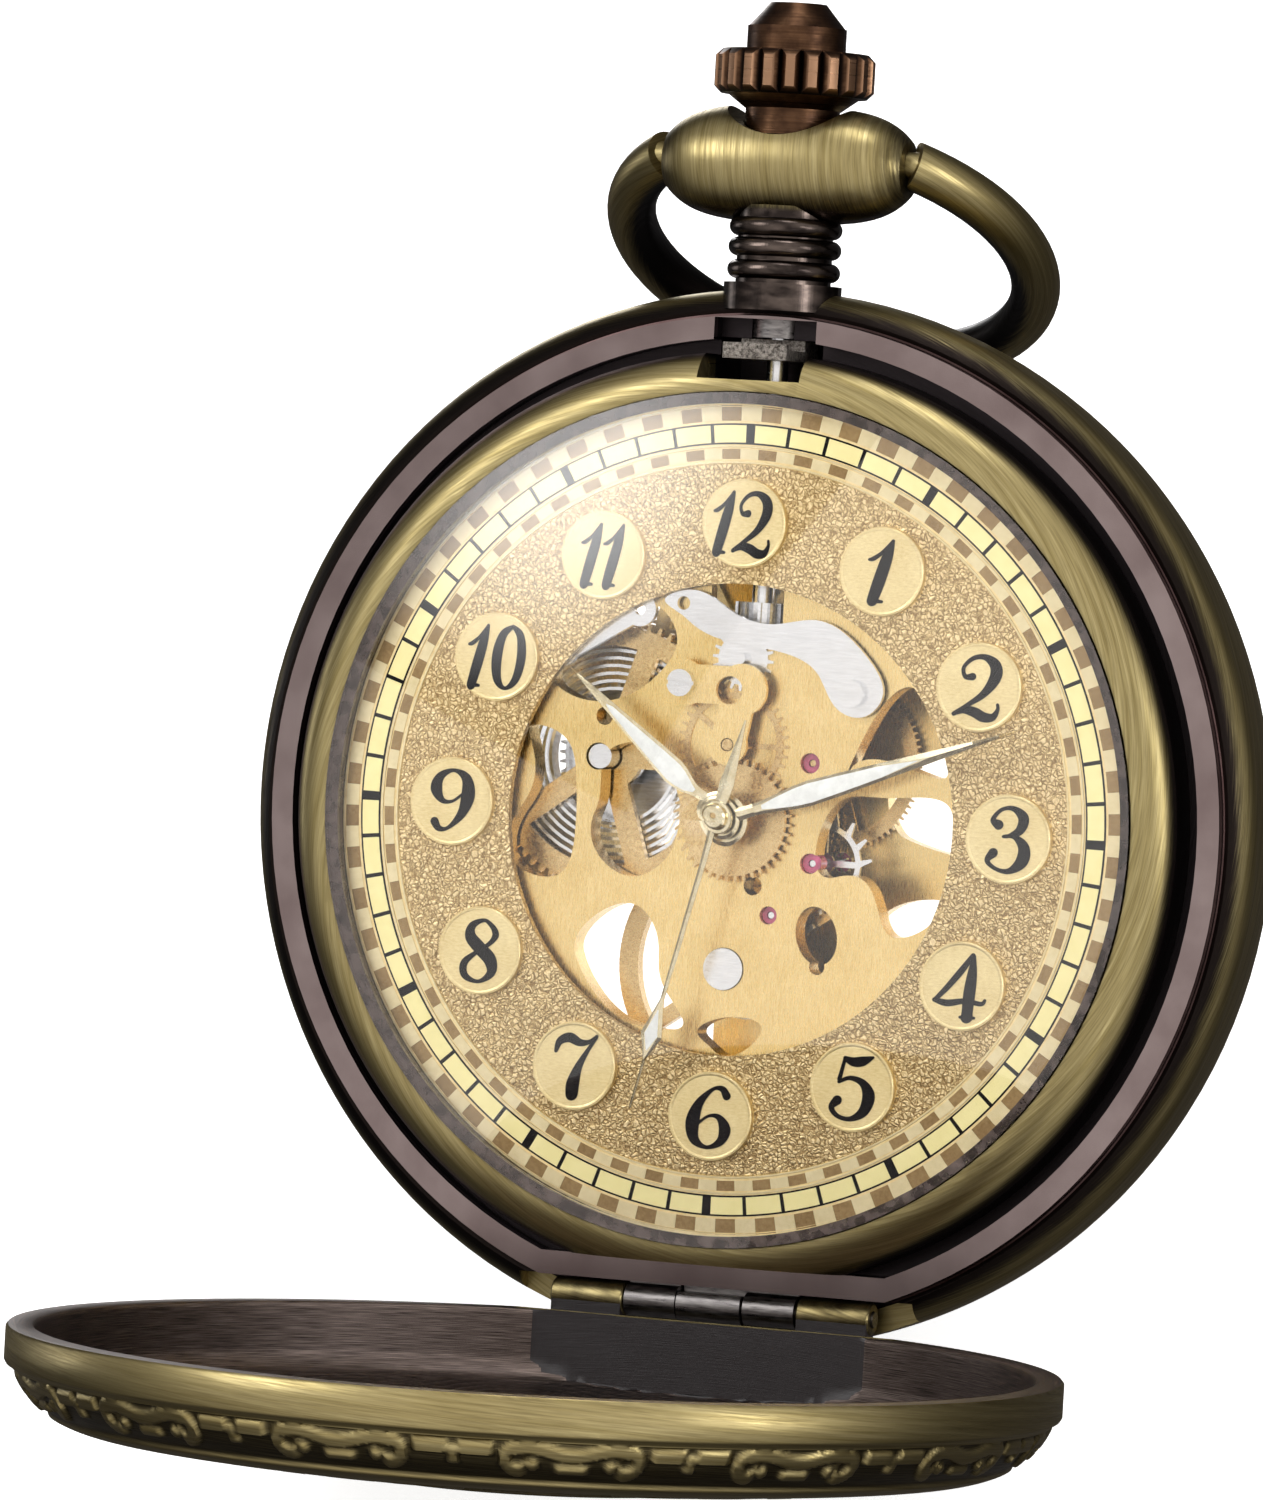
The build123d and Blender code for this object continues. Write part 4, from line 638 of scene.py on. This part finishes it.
# Pen strokes of each figure: (u, v, width), in heights of the figure, v up from its foot.
SIX = [[(0.25, 0.84, 0.11), (0.16, 0.95, 0.08), (0.0, 0.93, 0.05), (-0.2, 0.7, 0.12),
        (-0.28, 0.4, 0.19), (-0.22, 0.12, 0.13), (0.0, 0.0, 0.05), (0.22, 0.1, 0.11),
        (0.28, 0.3, 0.16), (0.16, 0.49, 0.08), (-0.02, 0.5, 0.04), (-0.2, 0.36, 0.04)]]
FIGURES = {
    "0": [[(0.03, 1.0, 0.05), (-0.17, 0.85, 0.13), (-0.25, 0.5, 0.17), (-0.2, 0.15, 0.13),
           (-0.02, 0.0, 0.05), (0.18, 0.15, 0.12), (0.26, 0.5, 0.15), (0.2, 0.85, 0.12),
           (0.03, 1.0, 0.05)]],
    "1": [[(0.14, 0.99, 0.05), (0.07, 0.72, 0.15), (-0.02, 0.35, 0.17), (-0.1, 0.03, 0.15)],
          [(0.13, 0.98, 0.04), (-0.02, 0.8, 0.05), (-0.15, 0.7, 0.06), (-0.22, 0.68, 0.04)],
          [(-0.1, 0.03, 0.07), (0.06, 0.02, 0.04)]],
    "2": [[(-0.12, 0.66, 0.1), (-0.24, 0.66, 0.06), (-0.28, 0.8, 0.05), (-0.14, 0.95, 0.06),
           (0.06, 0.98, 0.08), (0.24, 0.86, 0.15), (0.26, 0.66, 0.16), (0.1, 0.4, 0.1),
           (-0.16, 0.2, 0.06), (-0.36, 0.06, 0.06)],
          [(-0.36, 0.06, 0.05), (-0.2, 0.13, 0.1), (-0.02, 0.1, 0.13), (0.14, 0.03, 0.13),
           (0.29, 0.04, 0.1), (0.36, 0.16, 0.05), (0.35, 0.24, 0.04)]],
    "3": [[(-0.18, 0.72, 0.13), (-0.28, 0.8, 0.07), (-0.16, 0.96, 0.05), (0.04, 0.99, 0.07),
           (0.22, 0.85, 0.14), (0.18, 0.65, 0.12), (0.0, 0.55, 0.05), (-0.08, 0.54, 0.04)],
          [(-0.06, 0.55, 0.04), (0.12, 0.54, 0.07), (0.28, 0.38, 0.15), (0.27, 0.16, 0.17),
           (0.08, 0.0, 0.08), (-0.14, 0.02, 0.05), (-0.3, 0.14, 0.07), (-0.22, 0.27, 0.13)]],
    "4": [[(0.14, 1.0, 0.06), (-0.02, 0.75, 0.09), (-0.22, 0.48, 0.08), (-0.4, 0.27, 0.06)],
          [(-0.42, 0.26, 0.06), (-0.2, 0.22, 0.09), (0.1, 0.27, 0.07), (0.36, 0.24, 0.06),
           (0.42, 0.3, 0.04)],
          [(0.16, 0.99, 0.05), (0.16, 0.7, 0.13), (0.15, 0.4, 0.16), (0.15, 0.1, 0.15),
           (0.15, 0.02, 0.17)],
          [(0.04, 0.01, 0.04), (0.27, 0.01, 0.04)]],
    "5": [[(-0.16, 0.96, 0.06), (-0.02, 0.91, 0.12), (0.14, 0.93, 0.13), (0.3, 1.0, 0.04)],
          [(-0.16, 0.96, 0.05), (-0.19, 0.8, 0.05), (-0.22, 0.62, 0.06)],
          [(-0.22, 0.58, 0.05), (-0.04, 0.65, 0.06), (0.18, 0.58, 0.1), (0.3, 0.38, 0.17),
           (0.24, 0.13, 0.14), (0.04, 0.0, 0.07), (-0.18, 0.03, 0.06), (-0.3, 0.16, 0.08),
           (-0.22, 0.28, 0.13)]],
    "6": SIX,
    "7": [[(-0.33, 0.72, 0.05), (-0.28, 0.88, 0.1), (-0.12, 0.95, 0.13), (0.06, 0.88, 0.1),
           (0.22, 0.9, 0.06), (0.34, 1.0, 0.04)],
          [(0.34, 0.98, 0.04), (0.2, 0.74, 0.06), (0.08, 0.48, 0.11), (0.02, 0.22, 0.18),
           (0.02, 0.04, 0.17)]],
    "8": [[(0.2, 0.88, 0.07), (0.04, 0.99, 0.05), (-0.16, 0.9, 0.1), (-0.18, 0.72, 0.15),
           (0.0, 0.54, 0.17), (0.2, 0.36, 0.17), (0.24, 0.15, 0.12), (0.04, 0.0, 0.05),
           (-0.2, 0.08, 0.09), (-0.24, 0.28, 0.1), (-0.06, 0.46, 0.06), (0.16, 0.62, 0.06),
           (0.25, 0.76, 0.09), (0.2, 0.88, 0.07)]],
    "9": [[(-u, 1 - v, w) for u, v, w in stroke] for stroke in SIX],
}
FIGURE_H = 2.75
FIGURE_BOLD = 1.22
PAIR_NARROW = 0.82          # width of a figure in 10, 11 and 12
PAIR_SHIFT = {"10": (-0.3, 0.22), "11": (-0.19, 0.19), "12": (-0.33, 0.16)}
FIGURE_THICK = 0.035


def number_pieces():
    """The twelve black numbers on their discs, and a bevelled rim round each disc."""
    strokes, rims = [], []
    for hour in range(1, 13):
        angle = radians(30 * hour)
        cx, cz = DISC_CIRCLE_R * sin(angle), DISC_CIRCLE_R * cos(angle)
        text = str(hour)
        shifts = PAIR_SHIFT.get(text, (0.0,))
        for digit, shift in zip(text, shifts):
            wide = PAIR_NARROW if len(text) == 2 else 1.0

            def place(u, v):
                lean = 0.06 * (v - 0.5)
                return (cx + ((u + lean) * wide + shift) * FIGURE_H, cz + (v - 0.5) * FIGURE_H)

            for stroke in FIGURES[digit]:
                bold = [(u, v, w * FIGURE_BOLD) for u, v, w in stroke]
                strokes.append(ribbon(bold, DISC_FRONT_Y - FIGURE_THICK, DISC_FRONT_Y, place))
        rim = [(DISC_R - 0.16, DISC_FRONT_Y), (DISC_R - 0.12, DISC_FRONT_Y - 0.02),
               (DISC_R - 0.05, DISC_FRONT_Y - 0.02), (DISC_R, DISC_FRONT_Y + 0.03),
               (DISC_R + 0.03, 0.0), (DISC_R - 0.16, 0.0)]
        rims.append(spin(rim, 64, "Y", (cx, 0, cz)))
    piece("dial_numbers", *join(strokes), "case", "black_ring", INK)
    piece("disc_rims", *join(rims), "case", "gold_disc", PAINTS["gold_disc"])


# ---- hands ----
def hand_place(clock):
    """A function from (across, along) a hand to case X and Z."""
    a = radians(clock)
    return lambda u, v: (u * cos(a) + v * sin(a), -u * sin(a) + v * cos(a))


def hand_bar(stations, front, middle, back, place):
    """A facetted bar through (along, half width, half width of its flat top) stations."""
    points, faces = [], []
    for v, half, flat in stations:
        row = ((-half, back), (-half, middle), (-flat, front), (flat, front), (half, middle),
               (half, back))
        for u, y in row:
            x, z = place(u, v)
            points.append((x, y, z))
    for i in range(len(stations) - 1):
        for j in range(6):
            k = (j + 1) % 6
            faces.append((6 * i + j, 6 * i + k, 6 * i + 6 + k, 6 * i + 6 + j))
    last = len(points) - 6
    faces += [tuple(range(6)), tuple(range(last, last + 6))]
    return points, faces


def leaf_hand(name, body, hand, root, widest, half, fill_end, hub):
    """A leaf hand: a facetted gilt frame, a white fill and a domed hub."""
    place = hand_place(hand["clock"])
    front, back = hand["front"], hand["back"]
    rim = 0.13
    stations = [(0.4, 0.3, 0.12), (root, 0.27, 0.1)]
    fill = []
    for t in (0.0, 0.15, 0.4, 0.75, 1.0):
        along = root + (widest - root) * t
        wide = 0.27 + (half - 0.27) * smooth(0, 1, t)
        stations.append((along + 0.02, wide, max(wide - rim, 0.05)))
        if t > 0:
            fill.append((along, max(wide - rim, 0.04) * (1 if t > 0.2 else 0.6)))
    for t in (0.15, 0.35, 0.6, 0.8, 0.93, 1.0):
        along = widest + (hand["length"] - widest) * t
        wide = half * (1 - t) + 0.02
        inside = max(wide - rim, 0.0) if along < fill_end else 0.0
        stations.append((along, wide, inside))
        if inside > 0.01:
            fill.append((along, inside))
    fill.append((fill_end, 0.01))
    frame_bar = hand_bar(stations, front, front + 0.08, back, place)
    obj = piece(name + "_frame", *join([frame_bar, spin(hub, 64)]), body, "hand_gold",
                PAINTS["hand_gold"], sharp=12)
    white = [(v, h, h * 0.8) for v, h in fill]
    piece(name + "_fill", *hand_bar(white, front - 0.025, front - 0.015, front + 0.02, place),
          body, "hand_gold", WHITE)
    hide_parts(name)


def hand_pieces():
    """The three hands, each in place of its CAD node."""
    f, b = HOUR_HAND["front"], HOUR_HAND["back"]
    leaf_hand("hour_hand", "hours", HOUR_HAND, 1.5, 3.1, 0.58, 7.4,
              [(0.75, b), (0.75, f), (1.05, f), (1.2, f + 0.06), (1.2, b)])
    f, b = MINUTE_HAND["front"], MINUTE_HAND["back"]
    leaf_hand("minute_hand", "minutes", MINUTE_HAND, 1.7, 4.4, 0.56, 9.6,
              [(0.45, b), (0.45, f), (0.82, f), (0.95, f + 0.06), (0.95, b)])
    f, b = SECOND_HAND["front"], SECOND_HAND["back"]
    place = hand_place(SECOND_HAND["clock"])
    needle = hand_bar([(-0.2, 0.16, 0.03), (8.2, 0.085, 0.0), (13.25, 0.05, 0.0)], f, f + 0.05, b,
                      place)
    lozenge = hand_bar([(8.15, 0.05, 0.0), (9.9, 0.5, 0.33), (11.05, 0.05, 0.0)], f - 0.02,
                       f + 0.03, b, place)
    tail = hand_bar([(-4.6, 0.03, 0.0), (-1.7, 0.34, 0.05), (0.2, 0.17, 0.03)], f, f + 0.05, b,
                    place)
    hub = spin([(0.15, b), (0.15, f - 0.4), (0.3, f - 0.4), (0.46, f - 0.38), (0.55, f - 0.3),
                (0.6, f - 0.05), (0.72, f - 0.03), (0.75, f + 0.02), (0.75, b)], 64)
    obj = piece("second_hand_needle", *join([needle, lozenge, tail, hub]), "seconds", "hand_gold",
                PAINTS["hand_gold"], sharp=12)
    white = hand_bar([(8.75, 0.02, 0.01), (9.9, 0.31, 0.28), (10.6, 0.02, 0.01)], f - 0.04,
                     f - 0.03, f, place)
    piece("second_hand_fill", *white, "seconds", "hand_gold", WHITE)
    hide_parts("second_hand")


# ---- cover ----
def arc_points(a, b, c, steps):
    """Points from a to c on the circle through a, b and c, without the last."""
    ax, ay, bx, by, cx, cy = *a, *b, *c
    d = 2 * (ax * (by - cy) + bx * (cy - ay) + cx * (ay - by))
    ux = ((ax * ax + ay * ay) * (by - cy) + (bx * bx + by * by) * (cy - ay)
          + (cx * cx + cy * cy) * (ay - by)) / d
    uy = ((ax * ax + ay * ay) * (cx - bx) + (bx * bx + by * by) * (ax - cx)
          + (cx * cx + cy * cy) * (bx - ax)) / d
    r = hypot(ax - ux, ay - uy)
    t0, t1 = atan2(ay - uy, ax - ux), atan2(cy - uy, cx - ux)
    sweep = (t1 - t0 + pi) % tau - pi
    return [(ux + r * cos(t0 + sweep * i / steps), uy + r * sin(t0 + sweep * i / steps))
            for i in range(steps)]


def dome_points(top_y, edge_r, edge_y, steps):
    """Points of a spherical cap's outline from its edge to the axis."""
    rise = edge_y - top_y
    radius = (edge_r ** 2 + rise ** 2) / (2 * rise)
    half = asin(edge_r / radius)
    return [(radius * sin(half * (1 - i / steps)),
             top_y + radius * (1 - cos(half * (1 - i / steps)))) for i in range(steps + 1)]


MOTIFS = 14                 # scrolls round the cover's side
SIDE_R = 21.0
SIDE_TOP_Y, SIDE_END_R = -1.05, 19.6
SCROLLS = 16                # scrolls on its outer face
SCROLL_R = 16.9             # middle circle of that band
ROSETTES = 16
ROSETTE_R = 15.6
ROSETTE_PITCH = 0.62


def band(distance, half, soft):
    """A raised line: 1 on it, 0 beyond half + soft."""
    return 1 - smooth(half, half + soft, abs(distance))


def side_relief(down, angle):
    """Raised work on the sloping side, down mm below the rim band: hooked arches and tees."""
    cell = tau / MOTIFS
    u = abs((angle + cell / 2) % cell - cell / 2) * SIDE_R
    edge = cell * SIDE_R / 2 - u
    arch = 0.5 - 0.17 * cos(pi * (u - 1.75) / 1.75)
    made = band(down - arch, 0.22, 0.14) * (1 - smooth(2.2, 2.5, u))
    hook = hypot(u - 2.15, down - 0.85)
    made = max(made, band(hook - 0.5, 0.19, 0.13) * smooth(-0.3, 0.1, u - 1.95))
    made = max(made, band(hypot(u - 1.55, down - 1.1), 0.16, 0.14))
    made = max(made, band(down - 0.5, 0.2, 0.13) * smooth(0.14, 0.26, edge)
               * (1 - smooth(1.5, 1.7, edge)))
    made = max(made, band(edge, 0.16, 0.12) * smooth(0.35, 0.5, down)
               * (1 - smooth(1.1, 1.3, down)))
    made = max(made, band(u, 0.5, 0.3) * band(down - 1.25, 0.1, 0.12))
    return max(made, 1 - smooth(0.0, 0.14, down), smooth(1.8, 1.95, down))


def face_relief(r, y, angle):
    """Raised work outside the cover, 0 to 1: scrolls, petals and a rosette of plain shapes."""
    if y > SIDE_TOP_Y:
        return 1.0
    if r > SIDE_END_R:
        return side_relief(SIDE_TOP_Y - y, angle)
    if r > 19.0:
        return 1.0 - 0.8 * (1 - smooth(0.0, 0.1, abs(r - 19.22)))
    if r > 14.3:
        cell = tau / SCROLLS
        u = ((angle + cell / 2) % cell - cell / 2) * SCROLL_R
        v = r - SCROLL_R
        reach = cell * SCROLL_R / 2
        wave = 1.05 * cos(pi * u / reach)
        slope = 1 + (1.05 * pi / reach * sin(pi * u / reach)) ** 2
        made = band((v - wave) / sqrt(slope), 0.24, 0.16)
        for side in (-1, 1):
            du, dv = u - side * 1.25, v + 0.55
            made = max(made, band(hypot(du, dv) - 0.62, 0.15, 0.14))
            made = max(made, band(hypot(du, dv), 0.2, 0.14))
            du, dv = u - side * (reach - 0.1), v - 0.95
            made = max(made, band(hypot(du, dv * 0.7), 0.34, 0.18))
        made = max(made, band(hypot(u, v + 1.7), 0.28, 0.16))
        return made * (1 - smooth(18.75, 19.0, r))
    if r > 13.7:
        return 1.0
    if r > 9.3:
        petal = abs(sin(angle * SCROLLS))
        return smooth(0.2, 0.6, petal) * (1 - smooth(13.2, 13.6, r)) * smooth(9.3, 9.8, r)
    if r > 7.0:
        return 1.0
    bloom = 2.2 + 3.6 * abs(cos(angle * 4))
    return max(band(r - bloom, 0.25, 0.2), band(r - 1.2, 0.35, 0.2), band(r - 6.4, 0.2, 0.15))


def rosette_relief(r, _, angle):
    """Turned rosettes inside the cover: rings round a circle of centres, 0 to 1."""
    if r > 20.2:
        return 1.0
    cell = tau / ROSETTES
    a = (angle + cell / 2) % cell - cell / 2
    near = hypot(r * cos(a) - ROSETTE_R, r * sin(a))
    if r < 11.0:
        near = r
    return 0.5 + 0.5 * cos(tau * near / ROSETTE_PITCH)


def shell(outline, relief, depth, chord_z, inward, steps):
    """A turned sheet whose relief is cut into it, flat at the hinge's chord."""
    points, values, faces = [], [], []
    count = len(outline)
    for i in range(steps):
        angle = tau * i / steps
        for r, y in outline:
            value = relief(r, y, angle)
            dr, dy = inward(r)
            cut = depth * (1 - value) * (0.0 if r < 0.01 else 1.0)
            r, y = r + dr * cut, y + dy * cut
            x, z = r * sin(angle), r * cos(angle)
            if z < chord_z:
                x *= chord_z / z
                z = chord_z
            points.append((x, y, z))
            values.append(value)
        for j in range(count - 1):
            n = (i + 1) % steps
            faces.append((i * count + j, i * count + j + 1, n * count + j + 1, n * count + j))
    return points, faces, values


def cover_outline():
    """The outer face, from the rim to the middle of the medallion."""
    rim = [(22.3, LID_RIM_Y), (LID_R, LID_RIM_Y - 0.12), (LID_R, -0.2), (LID_R, -0.72),
           (22.33, -0.84), (22.08, -0.98), (22.05, -1.05)]
    side = arc_points((22.05, -1.05), (21.25, -2.35), (19.6, -3.3), 36)
    field = arc_points((19.6, -3.3), (14.5, -3.88), (MEDALLION_R, -4.15), 72)
    edge = [(MEDALLION_R, -4.15), (8.56, -4.3), (8.5, -4.45), (8.4, -4.55), (8.2, -4.6)]
    return rim + side + field + edge[:-1] + dome_points(-4.95, 8.2, -4.6, 32)


def cover_lining():
    """The inner face, from the rim to the middle."""
    wall = [(22.3, LID_RIM_Y), (LID_IN_R + 0.08, LID_RIM_Y), (LID_IN_R, LID_RIM_Y - 0.08)]
    wall += [(LID_IN_R, LID_RIM_Y - 0.08 - 2.17 * i / 12) for i in range(1, 13)]
    wall += [(21.0, -2.0)]
    return wall + dome_points(-3.95, 20.6, -2.3, 132)


def cover_pieces():
    """The cover's two faces, its catch lip and its hinge barrels."""
    outside = shell(cover_outline(), face_relief, FACE_CUT, LID_CHORD_Z,
                    lambda r: (-0.7, 0.7) if r > SIDE_END_R else (0.0, 1.0), 1080)
    inside = shell(cover_lining(), rosette_relief, LINING_CUT, LID_CHORD_Z + LID_CHORD_WALL,
                   lambda r: (0.0, -1.0), 720)
    shown = piece("cover_shell", *outside[:2], "front_cover", "cover_bronze",
                  PAINTS["cover_bronze"], COVER, 50, outside[2])
    piece("cover_lining", *inside[:2], "front_cover", "cover_bronze", DARK_COVER, COVER, 60,
          inside[2])
    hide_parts("front_cover")
    barrels = []
    for sign in (-1, 1):
        x0, x1 = sorted((sign * LID_LUG_X[0], sign * LID_LUG_X[1]))
        r, b = HINGE_BARREL_R, HINGE_PIN_R
        outline = [(b, x0), (r - 0.08, x0), (r, x0 + 0.08), (r, x1 - 0.08), (r - 0.08, x1),
                   (b, x1)]
        barrels.append(spin(outline, 48, "X", HINGE))
    piece("cover_hinge_barrels", *join(barrels), "front_cover", "cover_bronze", KNUCKLE, COVER)
    webs = []
    for sign in (-1, 1):
        x0, x1 = sorted((sign * LID_LUG_X[0], sign * LID_LUG_X[1]))
        side = ((HINGE.y, HINGE.z + WEB_UP), (WEB_UP, HINGE.z + WEB_UP),
                (WEB_UP, LID_CHORD_Z + 0.1),
                (-0.5, LID_CHORD_Z + 0.1),
                (-0.5, HINGE.z + 0.45), (HINGE.y - 0.5, HINGE.z - 0.5), (HINGE.y, HINGE.z - 0.35),
                (HINGE.y + 0.1, HINGE.z + 0.45))
        count = len(side)
        points = [(x, y, z) for x in (x0 + WEB_INSET, x1 - WEB_INSET) for y, z in side]
        faces = [(j, (j + 1) % count, (j + 1) % count + count, j + count) for j in range(count)]
        faces += [tuple(range(count)), tuple(range(count, 2 * count))]
        webs.append((points, faces))
    lip = ((-LIP_HALF_X, LIP_Y[0]), (LIP_HALF_X, LIP_Y[0]), (LIP_HALF_X, LIP_Y[1]),
           (-LIP_HALF_X, LIP_Y[1]))
    points = [(x, y, z) for z in LIP_Z for x, y in lip]
    faces = [(0, 1, 2, 3), (4, 5, 6, 7)] + [(j, (j + 1) % 4, (j + 1) % 4 + 4, j + 4)
                                            for j in range(4)]
    webs.append((points, faces))
    piece("cover_hinge_webs", *join(webs), "front_cover", "cover_bronze", DARK_COVER, COVER)


track_pieces()
number_pieces()
hand_pieces()
cover_pieces()


# ---- softer edges on the plates ----
for name, width in (
        ("main_plate", 0.07), ("motion_bridge", 0.06), ("setting_lever_spring", 0.05),
        ("barrel_bridge", 0.08), ("train_bridge", 0.08), ("balance_cock", 0.08),
        ("numeral_discs", 0.04)):
    bevel = nodes[name].modifiers.new("edge", "BEVEL")
    bevel.width = width * MM
    bevel.segments = 2
    bevel.limit_method = "ANGLE"
    bevel.angle_limit = radians(40)
    bevel.use_clamp_overlap = True


# ---- floor, lights and camera ----
def studio():
    """A pale floor and a world that is bright in front and dark behind."""
    floor_mesh = bpy.data.meshes.new("floor")
    size = 3.0
    floor_mesh.from_pydata([(-size, -size, 0), (size, -size, 0), (size, size, 0),
                            (-size, size, 0)], [], [(0, 1, 2, 3)])
    floor = bpy.data.objects.new("floor", floor_mesh)
    floor.location.z = -0.0002
    bpy.context.scene.collection.objects.link(floor)
    paper = Paint("paper", Roughness=0.9, Emission_Color=(1, 1, 1), Emission_Strength=0.8)
    tone = paper.noise(paper.mm, 0.02, 2.0)
    paper.set(Base_Color=paper.ramp(tone, (0.3, (0.9, 0.9, 0.9)), (0.7, (0.93, 0.93, 0.93))))
    floor_mesh.materials.append(paper.material)
    floor.visible_glossy = False

    world = bpy.data.worlds.new("studio")
    bpy.context.scene.world = world
    world.use_nodes = True
    tree = world.node_tree
    back = tree.nodes["Background"]
    coords = tree.nodes.new("ShaderNodeTexCoord")
    facing = tree.nodes.new("ShaderNodeVectorMath")
    facing.operation = "DOT_PRODUCT"
    facing.inputs[1].default_value = Vector((0.25, -0.8, 0.6)).normalized()
    tree.links.new(coords.outputs["Generated"], facing.inputs[0])
    ramp = tree.nodes.new("ShaderNodeValToRGB")
    marks = ramp.color_ramp.elements
    marks[0].position, marks[0].color = 0.42, (0.06, 0.057, 0.058, 1)
    marks[1].position, marks[1].color = 0.92, (1.12, 1.09, 1.06, 1)
    half = tree.nodes.new("ShaderNodeMath")
    half.operation = "MULTIPLY_ADD"
    half.inputs[1].default_value = half.inputs[2].default_value = 0.5
    tree.links.new(facing.outputs["Value"], half.inputs[0])
    tree.links.new(half.outputs[0], ramp.inputs[0])
    seen = tree.nodes.new("ShaderNodeLightPath")
    mix = tree.nodes.new("ShaderNodeMix")
    mix.data_type = "RGBA"
    mix.inputs[7].default_value = (1, 1, 1, 1)
    tree.links.new(seen.outputs["Is Camera Ray"], mix.inputs[0])
    tree.links.new(ramp.outputs[0], mix.inputs[6])
    tree.links.new(mix.outputs[2], back.inputs["Color"])


def softbox(name, at, size, strength):
    """A glowing card with soft edges at a place in the case frame, turned to the dial."""
    mesh = bpy.data.meshes.new(name)
    wide, high = size[0] / 2 * MM, size[1] / 2 * MM
    mesh.from_pydata([(-wide, -high, 0), (wide, -high, 0), (wide, high, 0),
                      (-wide, high, 0)], [], [(0, 1, 2, 3)])
    card = bpy.data.objects.new(name, mesh)
    card.location = CASE @ Vector(at)
    card.rotation_mode = "QUATERNION"
    card.rotation_quaternion = (card.location - ORIGIN).to_track_quat("Z", "Y")
    bpy.context.scene.collection.objects.link(card)
    glow = Paint(name, Matrix(), Base_Color=(0, 0, 0), Roughness=1.0,
                 Emission_Color=(1, 1, 1))
    x, y, _ = glow.axes()
    off = glow.length(glow.math("DIVIDE", x, wide), glow.math("DIVIDE", y, high))
    glow.set(Emission_Strength=glow.step(off, 0.1, 1.0, strength, 0.0))
    mesh.materials.append(glow.material)
    card.visible_camera = False


CAMERA_AT = (151.46, -412.92, 13.74)
CAMERA_BACK = Vector((0.3539, -0.9350, 0.0248)).normalized()
CAMERA_RIGHT = Vector((0.9332, 0.3548, 0.0570)).normalized()


def camera():
    """The camera at the photograph's angle, placed in the case frame."""
    data = bpy.data.cameras.new("camera")
    data.lens = 239.3
    data.sensor_width = 36
    data.clip_start, data.clip_end = 0.01, 20
    cam = bpy.data.objects.new("camera", data)
    turn = CASE.to_3x3() * (1 / MM)
    right, back = turn @ CAMERA_RIGHT, turn @ CAMERA_BACK
    up = back.cross(right)
    cam.matrix_world = Matrix.Translation(CASE @ Vector(CAMERA_AT)) @ Matrix(
        (right, up, back)).transposed().to_4x4()
    bpy.context.scene.collection.objects.link(cam)
    bpy.context.scene.camera = cam


studio()
softbox("key_left", (-276, -355, 207), (380, 380), 7.5)
softbox("side_right", (420, -190, 60), (160, 400), 10.0)
softbox("top", (40, -120, 420), (320, 200), 9.0)
softbox("front_fill", (330, -430, -260), (260, 200), 4.0)
softbox("rear", (-260, 420, 240), (300, 300), 5.0)
softbox("left_edge", (-470, 60, 40), (200, 300), 2.5)
camera()
view_settings = bpy.context.scene.view_settings
view_settings.view_transform = "Standard"
